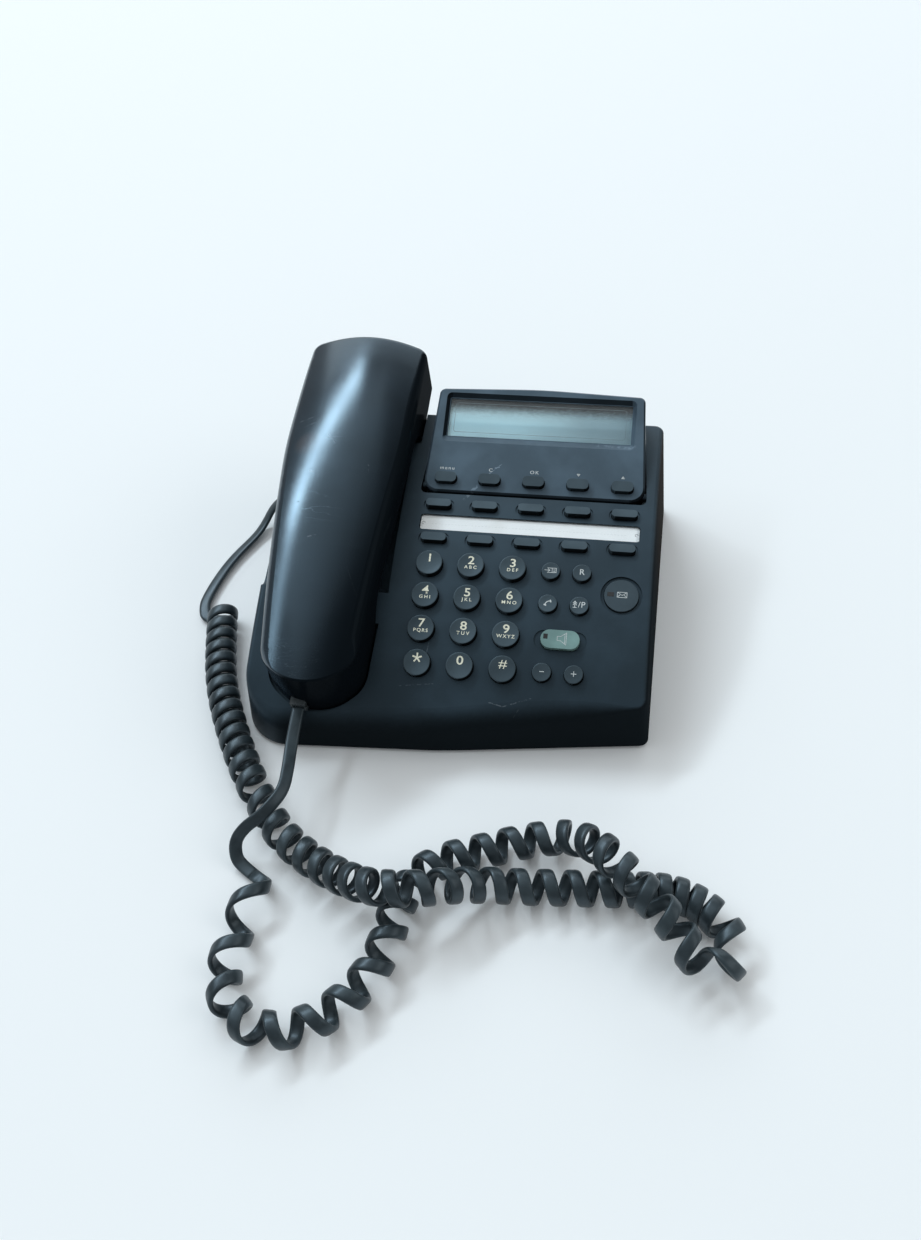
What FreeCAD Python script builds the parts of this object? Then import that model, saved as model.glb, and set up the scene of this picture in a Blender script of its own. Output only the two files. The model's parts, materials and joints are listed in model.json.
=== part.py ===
# Corded desk telephone: a wedge-shaped base with push buttons, a display that tilts up from a
# pocket, and a handset that lies in a cradle and hangs on a curly cord.
# Millimetres. +Z is up, +X is right and +Y is the back; the origin is on the table, under the
# middle of the telephone without its cord.
import FreeCAD, Part
import math
import os
import types

import Sketcher
from FreeCAD import Placement, Rotation, Vector

# Driving dimensions
SIZES = {
    # Plan of the base, at its underside
    "base_back_width": 194.0,
    "base_front_width": 188.0,
    "base_back_y": 77.0,
    "front_left_y": -96.5,
    "front_middle_y": -91.5,
    "front_right_y": -79.0,
    "front_bow_radius": 250.0,
    "front_left_radius": 22.0,
    "front_right_radius": 4.5,
    "back_corner_radius": 4.5,
    # Heights and walls of the base
    "foot_height": 2.0,
    "foot_radius": 7.0,
    "foot_recess": 0.6,
    "seam_z": 9.0,
    "base_wall": 2.5,
    "wall_draft": 4.5,
    "base_rounding": 2.2,
    "front_rounding": 14.0,
    "front_right_rounding": 4.2,
    # The top panel is part of a large cylinder that lies along X
    "panel_radius": 286.0,
    "crown_y": 58.4,
    "crown_z": 62.5,
    "keypad_slope": 21.0,
    # Keys, placed from the middle of the digit keys
    "keypad_x": 7.0,
    "key_pitch_x": 19.5,
    "key_pitch_v": 16.1,
    "key_radius": 6.2,
    "key_height": 2.8,
    "small_key_x": 37.2,
    "small_key_pitch": 14.3,
    "small_key_radius": 4.3,
    "small_key_height": 2.2,
    "function_key_x": -19.4,
    "function_key_pitch": 22.1,
    "function_upper_v": 57.1,
    "function_lower_v": 38.1,
    "function_key_length": 12.0,
    "function_key_width": 4.2,
    "function_key_height": 2.4,
    "loudspeaker_key_x": 44.2,
    "loudspeaker_key_v": -8.7,
    "loudspeaker_key_length": 17.6,
    "loudspeaker_key_width": 8.6,
    "message_key_x": 70.1,
    "message_key_v": 15.0,
    "message_key_radius": 7.8,
    "message_key_height": 0.1,
    "message_dish_depth": 1.2,
    "message_dish_margin": 1.7,
    "key_end_share": 0.42,
    "flange_reach": 1.1,
    "flange_thickness": 1.2,
    "key_gap": 0.3,
    "key_travel": 1.2,
    "dish_margin": 1.3,
    "dish_depth": 0.6,
    "loudspeaker_dish_reach": 2.9,
    "pill_end_share": 0.49,
    # Label strip between the rows of function keys
    "label_x": 24.8,
    "label_v": 47.3,
    "label_length": 104.0,
    "label_width": 8.6,
    "label_depth": 1.6,
    "label_corner": 1.6,
    "label_gap": 0.3,
    "card_thickness": 0.4,
    "label_window_thickness": 1.0,
    # Key mat and circuit board under the panel
    "mat_gap": 0.3,
    "board_depth": 11.3,
    "board_thickness": 1.6,
    "board_left_x": -20.0,
    "board_v": 12.5,
    "board_length": 90.0,
    "board_gap": 1.0,
    "board_post_radius": 3.0,
    "board_post_inset": 6.0,
    # Handset, in its own frame: u runs along it to the ear, w points out of its back
    "handset_x": -58.0,
    "handset_y": 1.7,
    "handset_z": 59.8,
    "handset_slope": 12.5,
    "handset_half_length": 98.0,
    "ear_end_w": 8.7,
    "ear_width": 59.0,
    "middle_width": 60.5,
    "mouth_width": 44.0,
    "spine_radius": 406.0,
    "crown_radius": 66.0,
    "crown_slope": 25.0,
    "spine_w": 24.0,
    "handset_seam_w": 9.0,
    "side_rounding": 7.0,
    "ear_end_rounding": 3.5,
    "mouth_end_rounding": 1.0,
    "mouth_corner_radius": 14.0,
    "ear_corner_radius": 6.0,
    "handset_wall": 2.4,
    "mouth_face_length": 36.0,
    "mouth_face_w": -13.5,
    "mouth_face_slope": 10.0,
    "ear_face_length": 42.0,
    "ear_face_w": -16.1,
    "ear_face_slope": -6.0,
    "grip_w": 4.5,
    "mouth_neck_length": 16.0,
    "ear_neck_length": 13.0,
    "grip_rounding": 25.0,
    # Cradle of the base
    "seat_gap": 0.3,
    "cradle_gap": 1.2,
    "mouth_well_overlap": 7.0,
    "ear_well_overlap": 9.0,
    "mouth_ledge_length": 15.0,
    "ear_ledge_length": 11.0,
    "trough_w": -12.0,
    "trough_right_x": 28.0,
    "trough_rounding": 8.0,
    # Hook switch in the floor of the ear well
    "hook_from_face": 4.0,
    "hook_radius": 3.5,
    "hook_gap": 0.3,
    "hook_travel": 4.0,
    "hook_flange": 1.5,
    "hook_length": 13.0,
    # Display, in its own frame: v runs up its face from the front edge
    "display_x": 31.6,
    "display_front_width": 106.8,
    "display_back_width": 101.0,
    "display_length": 57.2,
    "display_arch": 1.8,
    "display_thickness": 12.0,
    "display_seam": 8.5,
    "display_wall": 2.0,
    "display_front_radius": 7.0,
    "display_back_radius": 3.0,
    "display_chamfer": 0.9,
    "display_tilt": 22.0,
    "hinge_y": 25.9,
    "hinge_z": 56.3,
    "hinge_v": 5.0,
    "hinge_depth": 6.0,
    "hinge_radius": 2.0,
    "hinge_gap": 0.3,
    "hinge_reach": 3.0,
    "pocket_side_gap": 0.9,
    "pocket_turn_gap": 0.45,
    "pocket_floor_gap": 1.2,
    "pocket_front_wall": 1.2,
    "pocket_side_wall": 3.4,
    "bezel_side": 3.8,
    "bezel_back": 4.0,
    "bezel_length": 26.6,
    "bezel_depth": 2.2,
    "bezel_corner": 2.6,
    "glass_side": 1.9,
    "glass_length": 20.6,
    "glass_shift": 0.9,
    "glass_gap": 0.2,
    "window_thickness": 1.2,
    "lcd_thickness": 2.4,
    "lcd_gap": 1.0,
    "lcd_board_thickness": 1.2,
    "soft_key_v": 6.6,
    "soft_key_pitch": 21.2,
    "soft_key_length": 10.4,
    "soft_key_width": 5.2,
    "soft_key_height": 2.8,
    # Fasteners and sockets
    "post_x": 83.0,
    "post_front_y": -60.0,
    "post_back_y": 64.0,
    "post_radius": 4.0,
    "screw_radius": 1.5,
    "screw_gap": 0.15,
    "screw_head_radius": 3.0,
    "screw_head_height": 2.0,
    "screw_length": 12.0,
    "socket_width": 13.0,
    "socket_height": 10.4,
    "socket_depth": 12.5,
    "socket_y": 52.0,
    "line_socket_x": 40.0,
    "plug_width": 7.0,
    "plug_height": 6.6,
    "plug_length": 12.0,
    "plug_gap": 0.3,
    "plug_proud": 3.0,
    "plug_inset": 1.0,
    "jack_inset": 0.4,
    "jack_wall": 1.9,
    "plug_x": -6.0,
    # Loudspeaker of the base, and the two capsules of the handset
    "loudspeaker_radius": 23.0,
    "loudspeaker_depth": 12.0,
    "receiver_radius": 15.0,
    "receiver_depth": 7.0,
    "receiver_inset": 23.5,
    "microphone_radius": 5.0,
    "microphone_depth": 4.0,
    "microphone_inset": 22.0,
    # Curly cord
    "wire": 3.4,
    "curl_radius": 6.3,
    "curl_turns": 62.0,
}

DEGREES_PER_RADIAN = 180.0 / math.pi
# Tools reach this far past what they cut
BEYOND = 30.0
FAR = 120.0
# Degrees of the turned bands that the handset's back and seam are cut from
SWEEP = 50.0

# Control points of the smooth line that the cord's curls wind round, from the base's leader to
# the handset's. Two stretches climb over others that lie on the table.
COIL_AXIS = (
    (-121.1, -24.7, 8.6), (-118.5, -36.2, 8.6), (-115.3, -49.8, 8.6), (-111.3, -64.2, 8.6),
    (-104.9, -80.2, 8.6), (-95.7, -98.0, 8.6), (-85.6, -115.0, 8.6), (-75.3, -129.6, 8.6),
    (-64.8, -142.7, 8.6), (-53.7, -151.7, 8.6), (-41.1, -159.5, 10.5), (-28.0, -166.9, 16.0),
    (-17.3, -172.5, 23.0), (-7.5, -174.2, 26.2), (1.7, -173.2, 26.2), (10.4, -170.1, 23.5),
    (19.9, -164.8, 17.0), (30.8, -160.6, 11.0), (44.7, -158.7, 8.6), (60.4, -157.4, 8.6),
    (76.0, -156.2, 8.6), (89.5, -155.0, 8.6), (101.5, -154.0, 8.6), (112.0, -155.8, 8.6),
    (121.5, -161.0, 8.6), (128.3, -168.6, 8.8), (131.6, -177.6, 10.0), (127.6, -186.0, 12.5),
    (118.6, -188.0, 15.0), (112.0, -181.8, 17.5), (107.8, -175.6, 20.0), (102.8, -171.0, 22.5),
    (97.0, -166.6, 25.0), (91.2, -161.0, 26.2), (84.5, -154.7, 26.2), (78.1, -147.4, 24.8),
    (71.3, -140.7, 19.5), (63.2, -135.4, 12.5), (53.4, -135.0, 9.0), (41.7, -138.0, 8.6),
    (30.2, -142.6, 8.6), (18.7, -146.7, 8.6), (8.2, -151.2, 8.6), (-0.1, -158.6, 8.6),
    (-4.4, -168.3, 8.6), (-6.5, -178.4, 8.6), (-7.5, -189.0, 8.6), (-10.1, -199.5, 8.6),
    (-15.8, -210.2, 8.6), (-23.2, -219.1, 8.6), (-32.8, -226.6, 8.6), (-44.3, -230.3, 8.6),
    (-55.8, -229.3, 8.6), (-65.0, -222.4, 8.6), (-70.2, -212.4, 8.6), (-70.7, -199.7, 8.6),
    (-69.3, -187.3, 8.6), (-68.0, -175.9, 8.6), (-68.5, -164.1, 8.6),
)
# Length of one turn at distances along that line, in proportion
PITCHES = (
    (0, 6.6), (75, 6.8), (100, 8.2), (122, 15.0), (136, 9.0), (195, 9.0), (215, 10.5), (295, 10.0),
    (312, 6.2), (338, 6.2), (350, 15.0), (382, 15.0), (395, 10.5), (540, 11.0), (560, 13.5),
    (650, 13.5), (672, 20.0), (698, 24.0),
)
# Corners of the leader between the base's plug and the first curl
BASE_LEADER = (
    (-106.5, 52.0, 15.0), (-113.0, 49.5, 9.5), (-116.5, 43.0, 4.2), (-119.5, 35.0, 2.4),
    (-127.7, 18.5, 2.3), (-132.0, 3.8, 2.3), (-134.5, -10.3, 2.3), (-134.5, -17.1, 2.3),
)
# Corners of the leader between the last curl and the handset's plug, over the first curls
HANDSET_LEADER = (
    (-80.3, -156.0, 4.5), (-80.5, -151.5, 10.5), (-76.0, -148.0, 16.5), (-70.0, -145.0, 20.5),
    (-65.0, -139.0, 22.4), (-61.8, -131.0, 22.4), (-62.4, -120.7, 22.0), (-63.9, -108.1, 21.6),
)


class Size:
    """A value with the sheet formula that it came from."""

    def __init__(self, value, text):
        self.value = value
        self.text = text

    def joined(self, other, sign, value):
        return Size(value, "(" + self.text + " " + sign + " " + other.text + ")")

    def __add__(self, other):
        other = as_size(other)
        return self.joined(other, "+", self.value + other.value)

    def __sub__(self, other):
        other = as_size(other)
        return self.joined(other, "-", self.value - other.value)

    def __mul__(self, other):
        other = as_size(other)
        return self.joined(other, "*", self.value * other.value)

    def __truediv__(self, other):
        other = as_size(other)
        return self.joined(other, "/", self.value / other.value)

    def __radd__(self, other):
        return as_size(other) + self

    def __rsub__(self, other):
        return as_size(other) - self

    def __rmul__(self, other):
        return as_size(other) * self

    def __rtruediv__(self, other):
        return as_size(other) / self

    def __neg__(self):
        return as_size(0) - self


def as_size(value):
    return value if isinstance(value, Size) else Size(float(value), "(" + repr(float(value)) + ")")


def number(value):
    return value.value if isinstance(value, Size) else float(value)


def sine(angle):
    return Size(math.sin(math.radians(angle.value)), "sin(" + angle.text + ")")


def cosine(angle):
    return Size(math.cos(math.radians(angle.value)), "cos(" + angle.text + ")")


def tangent(angle):
    return Size(math.tan(math.radians(angle.value)), "tan(" + angle.text + ")")


def hypotenuse(across, up):
    text = "sqrt(" + across.text + " ^ 2 + " + up.text + " ^ 2)"
    return Size(math.hypot(across.value, up.value), text)


doc = FreeCAD.newDocument("Telephone")
sheet = doc.addObject("Spreadsheet::Sheet", "Sizes")
for row, (alias, value) in enumerate(SIZES.items(), start=1):
    sheet.set("A%d" % row, alias)
    sheet.set("B%d" % row, str(value))
    sheet.setAlias("B%d" % row, alias)
doc.recompute()
size = types.SimpleNamespace(**{name: Size(value, "Sizes." + name) for name, value in SIZES.items()})

pieces = []


def bind(thing, path, value):
    """Ties one property to the sheet, where its value comes from there."""
    if isinstance(value, Size):
        thing.setExpression(path, value.text)


def place(thing, x=0.0, y=0.0, z=0.0, tilt=0.0):
    """Puts a thing at (x, y, z), leaning back by tilt degrees about the X axis."""
    spot = Vector(number(x), number(y), number(z))
    thing.Placement = Placement(spot, Rotation(Vector(1, 0, 0), number(tilt)))
    bind(thing, "Placement.Base.x", x)
    bind(thing, "Placement.Base.y", y)
    bind(thing, "Placement.Base.z", z)
    bind(thing, "Placement.Rotation.Angle", tilt)
    return thing


def piece(thing, label):
    """Names a finished sub-part."""
    thing.Label = label
    pieces.append(thing)
    return thing


# Sketches, features and booleans
def new_body(label):
    body = doc.addObject("PartDesign::Body", label)
    body.Label = label
    return body


def sketch_on(body, plane, name, offset=0.0):
    """An empty sketch on one of the body's own origin planes, moved along its normal."""
    sketch = body.newObject("Sketcher::SketchObject", name)
    support = [feature for feature in body.Origin.OriginFeatures if feature.Role == plane][0]
    sketch.AttachmentSupport = [(support, "")]
    sketch.MapMode = "FlatFace"
    sketch.AttachmentOffset = Placement(Vector(0, 0, number(offset)), Rotation())
    bind(sketch, "AttachmentOffset.Base.z", offset)
    return sketch


def hold(sketch, kind, items, value):
    """Adds a measured constraint and ties it to the sheet."""
    index = sketch.addConstraint(Sketcher.Constraint(kind, *items, number(value)))
    bind(sketch, "Constraints[%d]" % index, value)


def hold_point(sketch, item, position, x, y):
    hold(sketch, "DistanceX", (-1, 1, item, position), x)
    hold(sketch, "DistanceY", (-1, 1, item, position), y)


def draw_outline(sketch, corners):
    """Draws a closed outline from (x, y, radius) for each corner, with radius 0 if it is sharp.

    Straight sides meet at the corners, and a corner with a radius gets an arc tangent to both.
    """
    count = len(corners)
    spots = [Vector(number(x), number(y), 0) for x, y, _ in corners]
    radii = [number(radius) for _, _, radius in corners]
    starts, ends, centres, sides = [], [], [], []
    for index in range(count):
        before = (spots[index] - spots[index - 1]).normalize()
        after = (spots[(index + 1) % count] - spots[index]).normalize()
        turn = math.atan2(before.x * after.y - before.y * after.x, before.dot(after))
        reach = radii[index] * math.tan(abs(turn) / 2)
        side = 1 if turn > 0 else -1
        ends.append(spots[index] - before * reach)
        starts.append(spots[index] + after * reach)
        centres.append(ends[-1] + Vector(-before.y, before.x, 0) * (radii[index] * side))
        sides.append(side)
    lines = []
    for index in range(count):
        line = Part.LineSegment(starts[index], ends[(index + 1) % count])
        lines.append(sketch.addGeometry(line, False))
    for index, (x, y, radius) in enumerate(corners):
        line_in, line_out = lines[index - 1], lines[index]
        if radii[index] == 0:
            sketch.addConstraint(Sketcher.Constraint("Coincident", line_in, 2, line_out, 1))
            hold_point(sketch, line_out, 1, x, y)
            continue
        first, last = ends[index], starts[index]
        near, far = 1, 2
        if sides[index] < 0:
            first, last = last, first
            near, far = far, near
        centre = centres[index]
        begin = math.atan2(first.y - centre.y, first.x - centre.x)
        finish = math.atan2(last.y - centre.y, last.x - centre.x)
        circle = Part.Circle(centre, Vector(0, 0, 1), radii[index])
        arc = sketch.addGeometry(Part.ArcOfCircle(circle, begin, finish), False)
        corner = sketch.addGeometry(Part.Point(spots[index]), True)
        sketch.addConstraint([
            Sketcher.Constraint("PointOnObject", corner, 1, line_in),
            Sketcher.Constraint("PointOnObject", corner, 1, line_out),
            Sketcher.Constraint("Tangent", line_in, 2, arc, near),
            Sketcher.Constraint("Tangent", line_out, 1, arc, far),
        ])
        hold_point(sketch, corner, 1, x, y)
        hold(sketch, "Radius", (arc,), radius)


def draw_circle(sketch, radius, x=0.0, y=0.0):
    circle = Part.Circle(Vector(number(x), number(y), 0), Vector(0, 0, 1), number(radius))
    item = sketch.addGeometry(circle, False)
    hold_point(sketch, item, 3, x, y)
    hold(sketch, "Radius", (item,), radius)


def pad(body, sketch, length, symmetric=False):
    feature = body.newObject("PartDesign::Pad", sketch.Name + "Pad")
    feature.Profile = sketch
    feature.SideType = "Symmetric" if symmetric else "One side"
    feature.Length = number(length)
    bind(feature, "Length", length)
    body.Tip = feature


def loft(body, sketches):
    feature = body.newObject("PartDesign::AdditiveLoft", body.Name + "Loft")
    feature.Profile = sketches[0]
    feature.Sections = sketches[1:]
    feature.Ruled = True
    body.Tip = feature


def revolve(body, sketch, role, angle=360.0):
    """Turns a sketch about one of the body's own axes, half of the angle to each side."""
    feature = body.newObject("PartDesign::Revolution", sketch.Name + "Turn")
    feature.Profile = sketch
    axis = [item for item in body.Origin.OriginFeatures if item.Role == role][0]
    feature.ReferenceAxis = (axis, [""])
    feature.Midplane = True
    feature.Angle = angle
    body.Tip = feature


def chamfer_edges(body, amount, wanted):
    """Takes the edges off a body that wanted(edge) picks, in the body's own frame."""
    doc.recompute()
    tip = body.Tip
    names = ["Edge%d" % index for index, edge in enumerate(tip.Shape.Edges, 1) if wanted(edge)]
    feature = body.newObject("PartDesign::Chamfer", body.Name + "Chamfer")
    feature.Base = (tip, names)
    feature.Size = number(amount)
    bind(feature, "Size", amount)
    body.Tip = feature


def lies_at(height):
    """Picks the edges that lie all along one height."""
    level = number(height)

    def wanted(edge):
        box = edge.BoundBox
        return abs(box.ZMin - level) < 0.01 and abs(box.ZMax - level) < 0.01
    return wanted


def turned(label, profile):
    """A solid turned about its own Z axis, from (radius, height, rounding) corners."""
    body = new_body(label)
    sketch = sketch_on(body, "XZ_Plane", label + "Profile")
    draw_outline(sketch, profile)
    revolve(body, sketch, "Z_Axis")
    return body


def disc(label, radius, bottom, top):
    body = new_body(label)
    sketch = sketch_on(body, "XY_Plane", label + "Circle", bottom)
    draw_circle(sketch, radius)
    pad(body, sketch, top - bottom)
    return body


def prism(label, corners, bottom, height, plane="XY_Plane", symmetric=False):
    """A padded outline that stands on a plane of its own frame."""
    body = new_body(label)
    sketch = sketch_on(body, plane, label + "Outline", bottom)
    draw_outline(sketch, corners)
    pad(body, sketch, height, symmetric)
    return body


def rectangle(x, y, length, width, radius=0.0):
    """Corners of a rectangle about (x, y), rounded if it has a radius."""
    return [
        (x - length / 2, y - width / 2, radius),
        (x + length / 2, y - width / 2, radius),
        (x + length / 2, y + width / 2, radius),
        (x - length / 2, y + width / 2, radius),
    ]


def block(label, x, y, bottom, length, width, height, radius=0.0):
    return prism(label, rectangle(x, y, length, width, radius), bottom, height)


def cut(label, base, tool):
    result = doc.addObject("Part::Cut", label)
    result.Base = base
    result.Tool = tool
    return result


def common(label, base, tool):
    result = doc.addObject("Part::Common", label)
    result.Base = base
    result.Tool = tool
    return result


def fuse(label, parts):
    result = doc.addObject("Part::MultiFuse", label)
    result.Shapes = parts
    return result


def group(label, parts):
    result = doc.addObject("Part::Compound", label)
    result.Links = parts
    return result


def rounded(label, base, wanted, radius_at):
    """Rounds the edges of a boolean that wanted(edge) picks, with radius_at(point) at their ends."""
    doc.recompute()
    chosen = []
    for index, edge in enumerate(base.Shape.Edges, 1):
        if wanted(edge):
            ends = [edge.valueAt(edge.FirstParameter), edge.valueAt(edge.LastParameter)]
            chosen.append((index, *(radius_at(end) for end in ends)))
    feature = doc.addObject("Part::Fillet", label)
    feature.Base = base
    feature.Edges = chosen
    return feature


# The three frames that the pieces are drawn in
def panel_slope(v):
    return size.keypad_slope - v / size.panel_radius * DEGREES_PER_RADIAN


def on_panel(thing, x, v, height=0.0):
    """Places a thing on the top panel: v runs up its arc from the middle of the digit keys."""
    slope = panel_slope(v)
    reach = size.panel_radius + height
    y = size.crown_y - reach * sine(slope)
    z = size.crown_z - size.panel_radius + reach * cosine(slope)
    return place(thing, size.keypad_x + x, y, z, slope)


def panel_block(label, depth):
    """All that lies under the top panel, or under its inner face at some depth."""
    body = new_body(label)
    sketch = sketch_on(body, "YZ_Plane", label + "Section")
    centre_z = size.crown_z - size.panel_radius
    draw_circle(sketch, size.panel_radius - depth, size.crown_y, centre_z)
    pad(body, sketch, 2 * FAR, True)
    return body


def on_handset(thing, x=0.0, u=0.0, w=0.0, lean=0.0):
    """Places a thing in the handset's frame, which slopes up to the ear end."""
    rise, run = sine(size.handset_slope), cosine(size.handset_slope)
    y = size.handset_y + u * run - w * rise
    z = size.handset_z + u * rise + w * run
    return place(thing, size.handset_x + x, y, z, size.handset_slope + lean)


def on_display(thing, x=0.0, v=0.0, height=0.0):
    """Places a thing in the display's frame, which turns about the hinge pins."""
    across = v - size.hinge_v
    up = height + size.hinge_depth
    rise, run = sine(size.display_tilt), cosine(size.display_tilt)
    y = size.hinge_y + across * run - up * rise
    z = size.hinge_z + across * rise + up * run
    return place(thing, size.display_x + x, y, z, size.display_tilt)


# Handset: its hull, its two shells and what they hold
def handset_plan(growth):
    """Corners of the handset's plan, moved out by growth."""
    ear = size.ear_width / 2 + growth
    middle = size.middle_width / 2 + growth
    mouth = size.mouth_width / 2 + growth
    end = size.handset_half_length + growth
    return [
        (-mouth, 14 - end, size.mouth_corner_radius + growth),
        (0, -4.6 - end, 24 + growth),
        (mouth, 14 - end, size.mouth_corner_radius + growth),
        (middle, 26, 260),
        (ear, end - 3, size.ear_corner_radius + growth),
        (0, end, 120),
        (-ear, end - 3, size.ear_corner_radius + growth),
        (-middle, 26, 260),
    ]


def mouth_face_u():
    """Where the face round the microphone ends and the neck starts."""
    return size.mouth_face_length - size.handset_half_length


def ear_face_u():
    """Where the neck ends and the face round the receiver starts."""
    return size.handset_half_length - size.ear_face_length


def mouth_w(u, drop=0.0):
    """Height of the face round the microphone, moved down by drop."""
    return size.mouth_face_w - drop + (u - mouth_face_u()) * tangent(size.mouth_face_slope)


def ear_w(u, drop=0.0):
    """Height of the face round the receiver, moved down by drop."""
    return size.ear_face_w - drop + (u - ear_face_u()) * tangent(size.ear_face_slope)


def ear_end_y():
    """The upright plane that squares off the ear end, through the plan's end at one height."""
    rise, run = sine(size.handset_slope), cosine(size.handset_slope)
    return size.handset_y + size.handset_half_length * run - size.ear_end_w * rise


def upright_u(w, inset):
    """Where an upright plane through the ear end's back crosses height w of the handset's frame."""
    rise, run = sine(size.handset_slope), cosine(size.handset_slope)
    return (ear_end_y() - inset - size.handset_y + w * rise) / run


def lowest_ear_u(inset):
    """Where the same upright plane meets the face round the receiver."""
    rise, run = sine(size.handset_slope), cosine(size.handset_slope)
    slope = tangent(size.ear_face_slope)
    level = ear_w(as_size(0), -inset)
    return (ear_end_y() - inset - size.handset_y + level * rise) / (run - slope * rise)


def barrel(label, inset):
    """The crowned back of the handset, turned about an axis far below it."""
    body = new_body(label)
    section = sketch_on(body, "XZ_Plane", label + "Crown")
    half = size.ear_width
    rise = size.crown_radius * (1 / cosine(size.crown_slope) - 1)
    tip = size.spine_radius - inset + rise
    draw_outline(section, [
        (-half, size.spine_radius / 2, 0),
        (half, size.spine_radius / 2, 0),
        (half, tip - half * tangent(size.crown_slope), 0),
        (0, tip, size.crown_radius),
        (-half, tip - half * tangent(size.crown_slope), 0),
    ])
    revolve(body, section, "X_Axis", SWEEP)
    return on_handset(body, 0.0, 0.0, size.spine_w - size.spine_radius)


def handset_hull(label, inset):
    """The handset's outer form, or its hollow where it is set in by a wall."""
    plan = on_handset(prism(label + "Plan", handset_plan(-inset), -FAR, 2 * FAR))
    far = size.handset_half_length + BEYOND
    mouth_u, ear_u = mouth_face_u() - inset / 2, ear_face_u() + inset / 2
    ear_corner = lowest_ear_u(inset)
    under = prism(label + "Under", [
        (-far, mouth_w(-far, -inset), 0),
        (mouth_u, mouth_w(mouth_u, -inset), 3),
        (mouth_u + size.mouth_neck_length, size.grip_w + inset, size.grip_rounding),
        (ear_u - size.ear_neck_length, size.grip_w + inset, size.grip_rounding),
        (ear_u, ear_w(ear_u, -inset), 3),
        (ear_corner, ear_w(ear_corner, -inset), 0),
        (upright_u(FAR, inset), FAR, 0),
        (-far, FAR, 0),
    ], 0, 2 * FAR, "YZ_Plane", True)
    on_handset(under)
    sides = common(label + "Sides", barrel(label + "Back", inset), plan)
    return common(label, sides, under)


def handset_height(point):
    """Height of a point over the handset's own frame."""
    slope = math.radians(number(size.handset_slope))
    y = point.y - number(size.handset_y)
    z = point.z - number(size.handset_z)
    return z * math.cos(slope) - y * math.sin(slope)


def handset_length(point):
    """Where a point lies along the handset's own frame."""
    slope = math.radians(number(size.handset_slope))
    y = point.y - number(size.handset_y)
    z = point.z - number(size.handset_z)
    return y * math.cos(slope) + z * math.sin(slope)


def is_back_edge(edge):
    """True on the edge between the handset's back and its sides."""
    middle = edge.valueAt((edge.FirstParameter + edge.LastParameter) / 2)
    return handset_height(middle) > number(size.grip_w) + 4


def back_rounding(point):
    """Wide along the sides, narrow at the ear end, and a crisp edge over the chin."""
    half = number(size.handset_half_length)
    chin = (11 - half, 19.5 - half, number(size.mouth_end_rounding))
    ear = (half - 4, half - 61, number(size.ear_end_rounding))
    side = number(size.side_rounding)
    for sharp, full, least in (chin, ear):
        share = (handset_length(point) - sharp) / (full - sharp)
        if share < 1:
            return least + (side - least) * max(share, 0.0)
    return side


def receiver_u():
    return size.handset_half_length - size.receiver_inset


def microphone_u():
    return size.microphone_inset - size.handset_half_length


def handset_holes():
    """Holes over the receiver and the microphone, and the notch for the plug."""
    tools = []
    ring = [(0.0, 0.0)]
    for index in range(6):
        angle = math.radians(60 * index)
        ring.append((6 * math.cos(angle), 6 * math.sin(angle)))
    for index, (x, u) in enumerate(ring):
        hole = disc("earHole%d" % index, 1.1, -6, 6)
        spot = receiver_u() + u
        tools.append(on_handset(hole, x, spot, ear_w(spot), size.ear_face_slope))
    for index in range(3):
        hole = disc("mouthHole%d" % index, 0.9, -6, 6)
        spot = microphone_u()
        tools.append(on_handset(hole, 4.0 * (index - 1), spot, mouth_w(spot), size.mouth_face_slope))
    notch = block("plugNotch", 0, -size.handset_half_length, 0, size.plug_width + 2 * size.plug_gap,
                  2 * (size.plug_length + 1.5), 2 * (size.plug_height + size.plug_gap))
    tools.append(on_handset(notch, size.plug_x, 0.0, plug_floor() - size.plug_height - size.plug_gap))
    return tools


def plug_floor():
    """Underside of the handset's plug, just over the face round the microphone."""
    return mouth_w(size.plug_length + size.plug_inset - size.handset_half_length) + 0.8


def make_handset():
    hull = handset_hull("handsetHull", as_size(0))
    smooth = rounded("handsetSmooth", hull, is_back_edge, back_rounding)
    shell = cut("handsetShell", smooth, handset_hull("handsetHollow", size.handset_wall))
    opened = cut("handsetOpened", shell, fuse("handsetHoles", handset_holes()))
    drop = size.spine_w - size.handset_seam_w
    seam = new_body("handsetSeam")
    section = sketch_on(seam, "XZ_Plane", "seamSection")
    draw_outline(section, [
        (-FAR, size.spine_radius / 2, 0),
        (FAR, size.spine_radius / 2, 0),
        (FAR, size.spine_radius - drop, 0),
        (-FAR, size.spine_radius - drop, 0),
    ])
    revolve(seam, section, "X_Axis", SWEEP)
    on_handset(seam, 0.0, 0.0, size.spine_w - size.spine_radius)
    piece(cut("handsetOuter", opened, seam), "handset_outer_shell")
    piece(common("handsetInner", opened, seam), "handset_inner_shell")
    receiver = turned("receiver", [
        (0, 0, 0),
        (size.receiver_radius, 0, 0),
        (size.receiver_radius, size.receiver_depth / 2, 0),
        (size.receiver_radius * 0.6, size.receiver_depth / 2, 0),
        (size.receiver_radius * 0.6, size.receiver_depth, 0),
        (0, size.receiver_depth, 0),
    ])
    spot = receiver_u()
    inner = ear_w(spot) + size.handset_wall / cosine(size.ear_face_slope)
    piece(on_handset(receiver, 0.0, spot, inner, size.ear_face_slope), "receiver_capsule")
    microphone = disc("microphone", size.microphone_radius, 0, size.microphone_depth)
    spot = microphone_u()
    inner = mouth_w(spot) + size.handset_wall / cosine(size.mouth_face_slope)
    piece(on_handset(microphone, 0.0, spot, inner, size.mouth_face_slope), "microphone_capsule")


# Cradle, pocket and posts: hollows of the base, and the walls kept round them
def mouth_well_u():
    return mouth_face_u() + size.mouth_well_overlap


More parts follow.
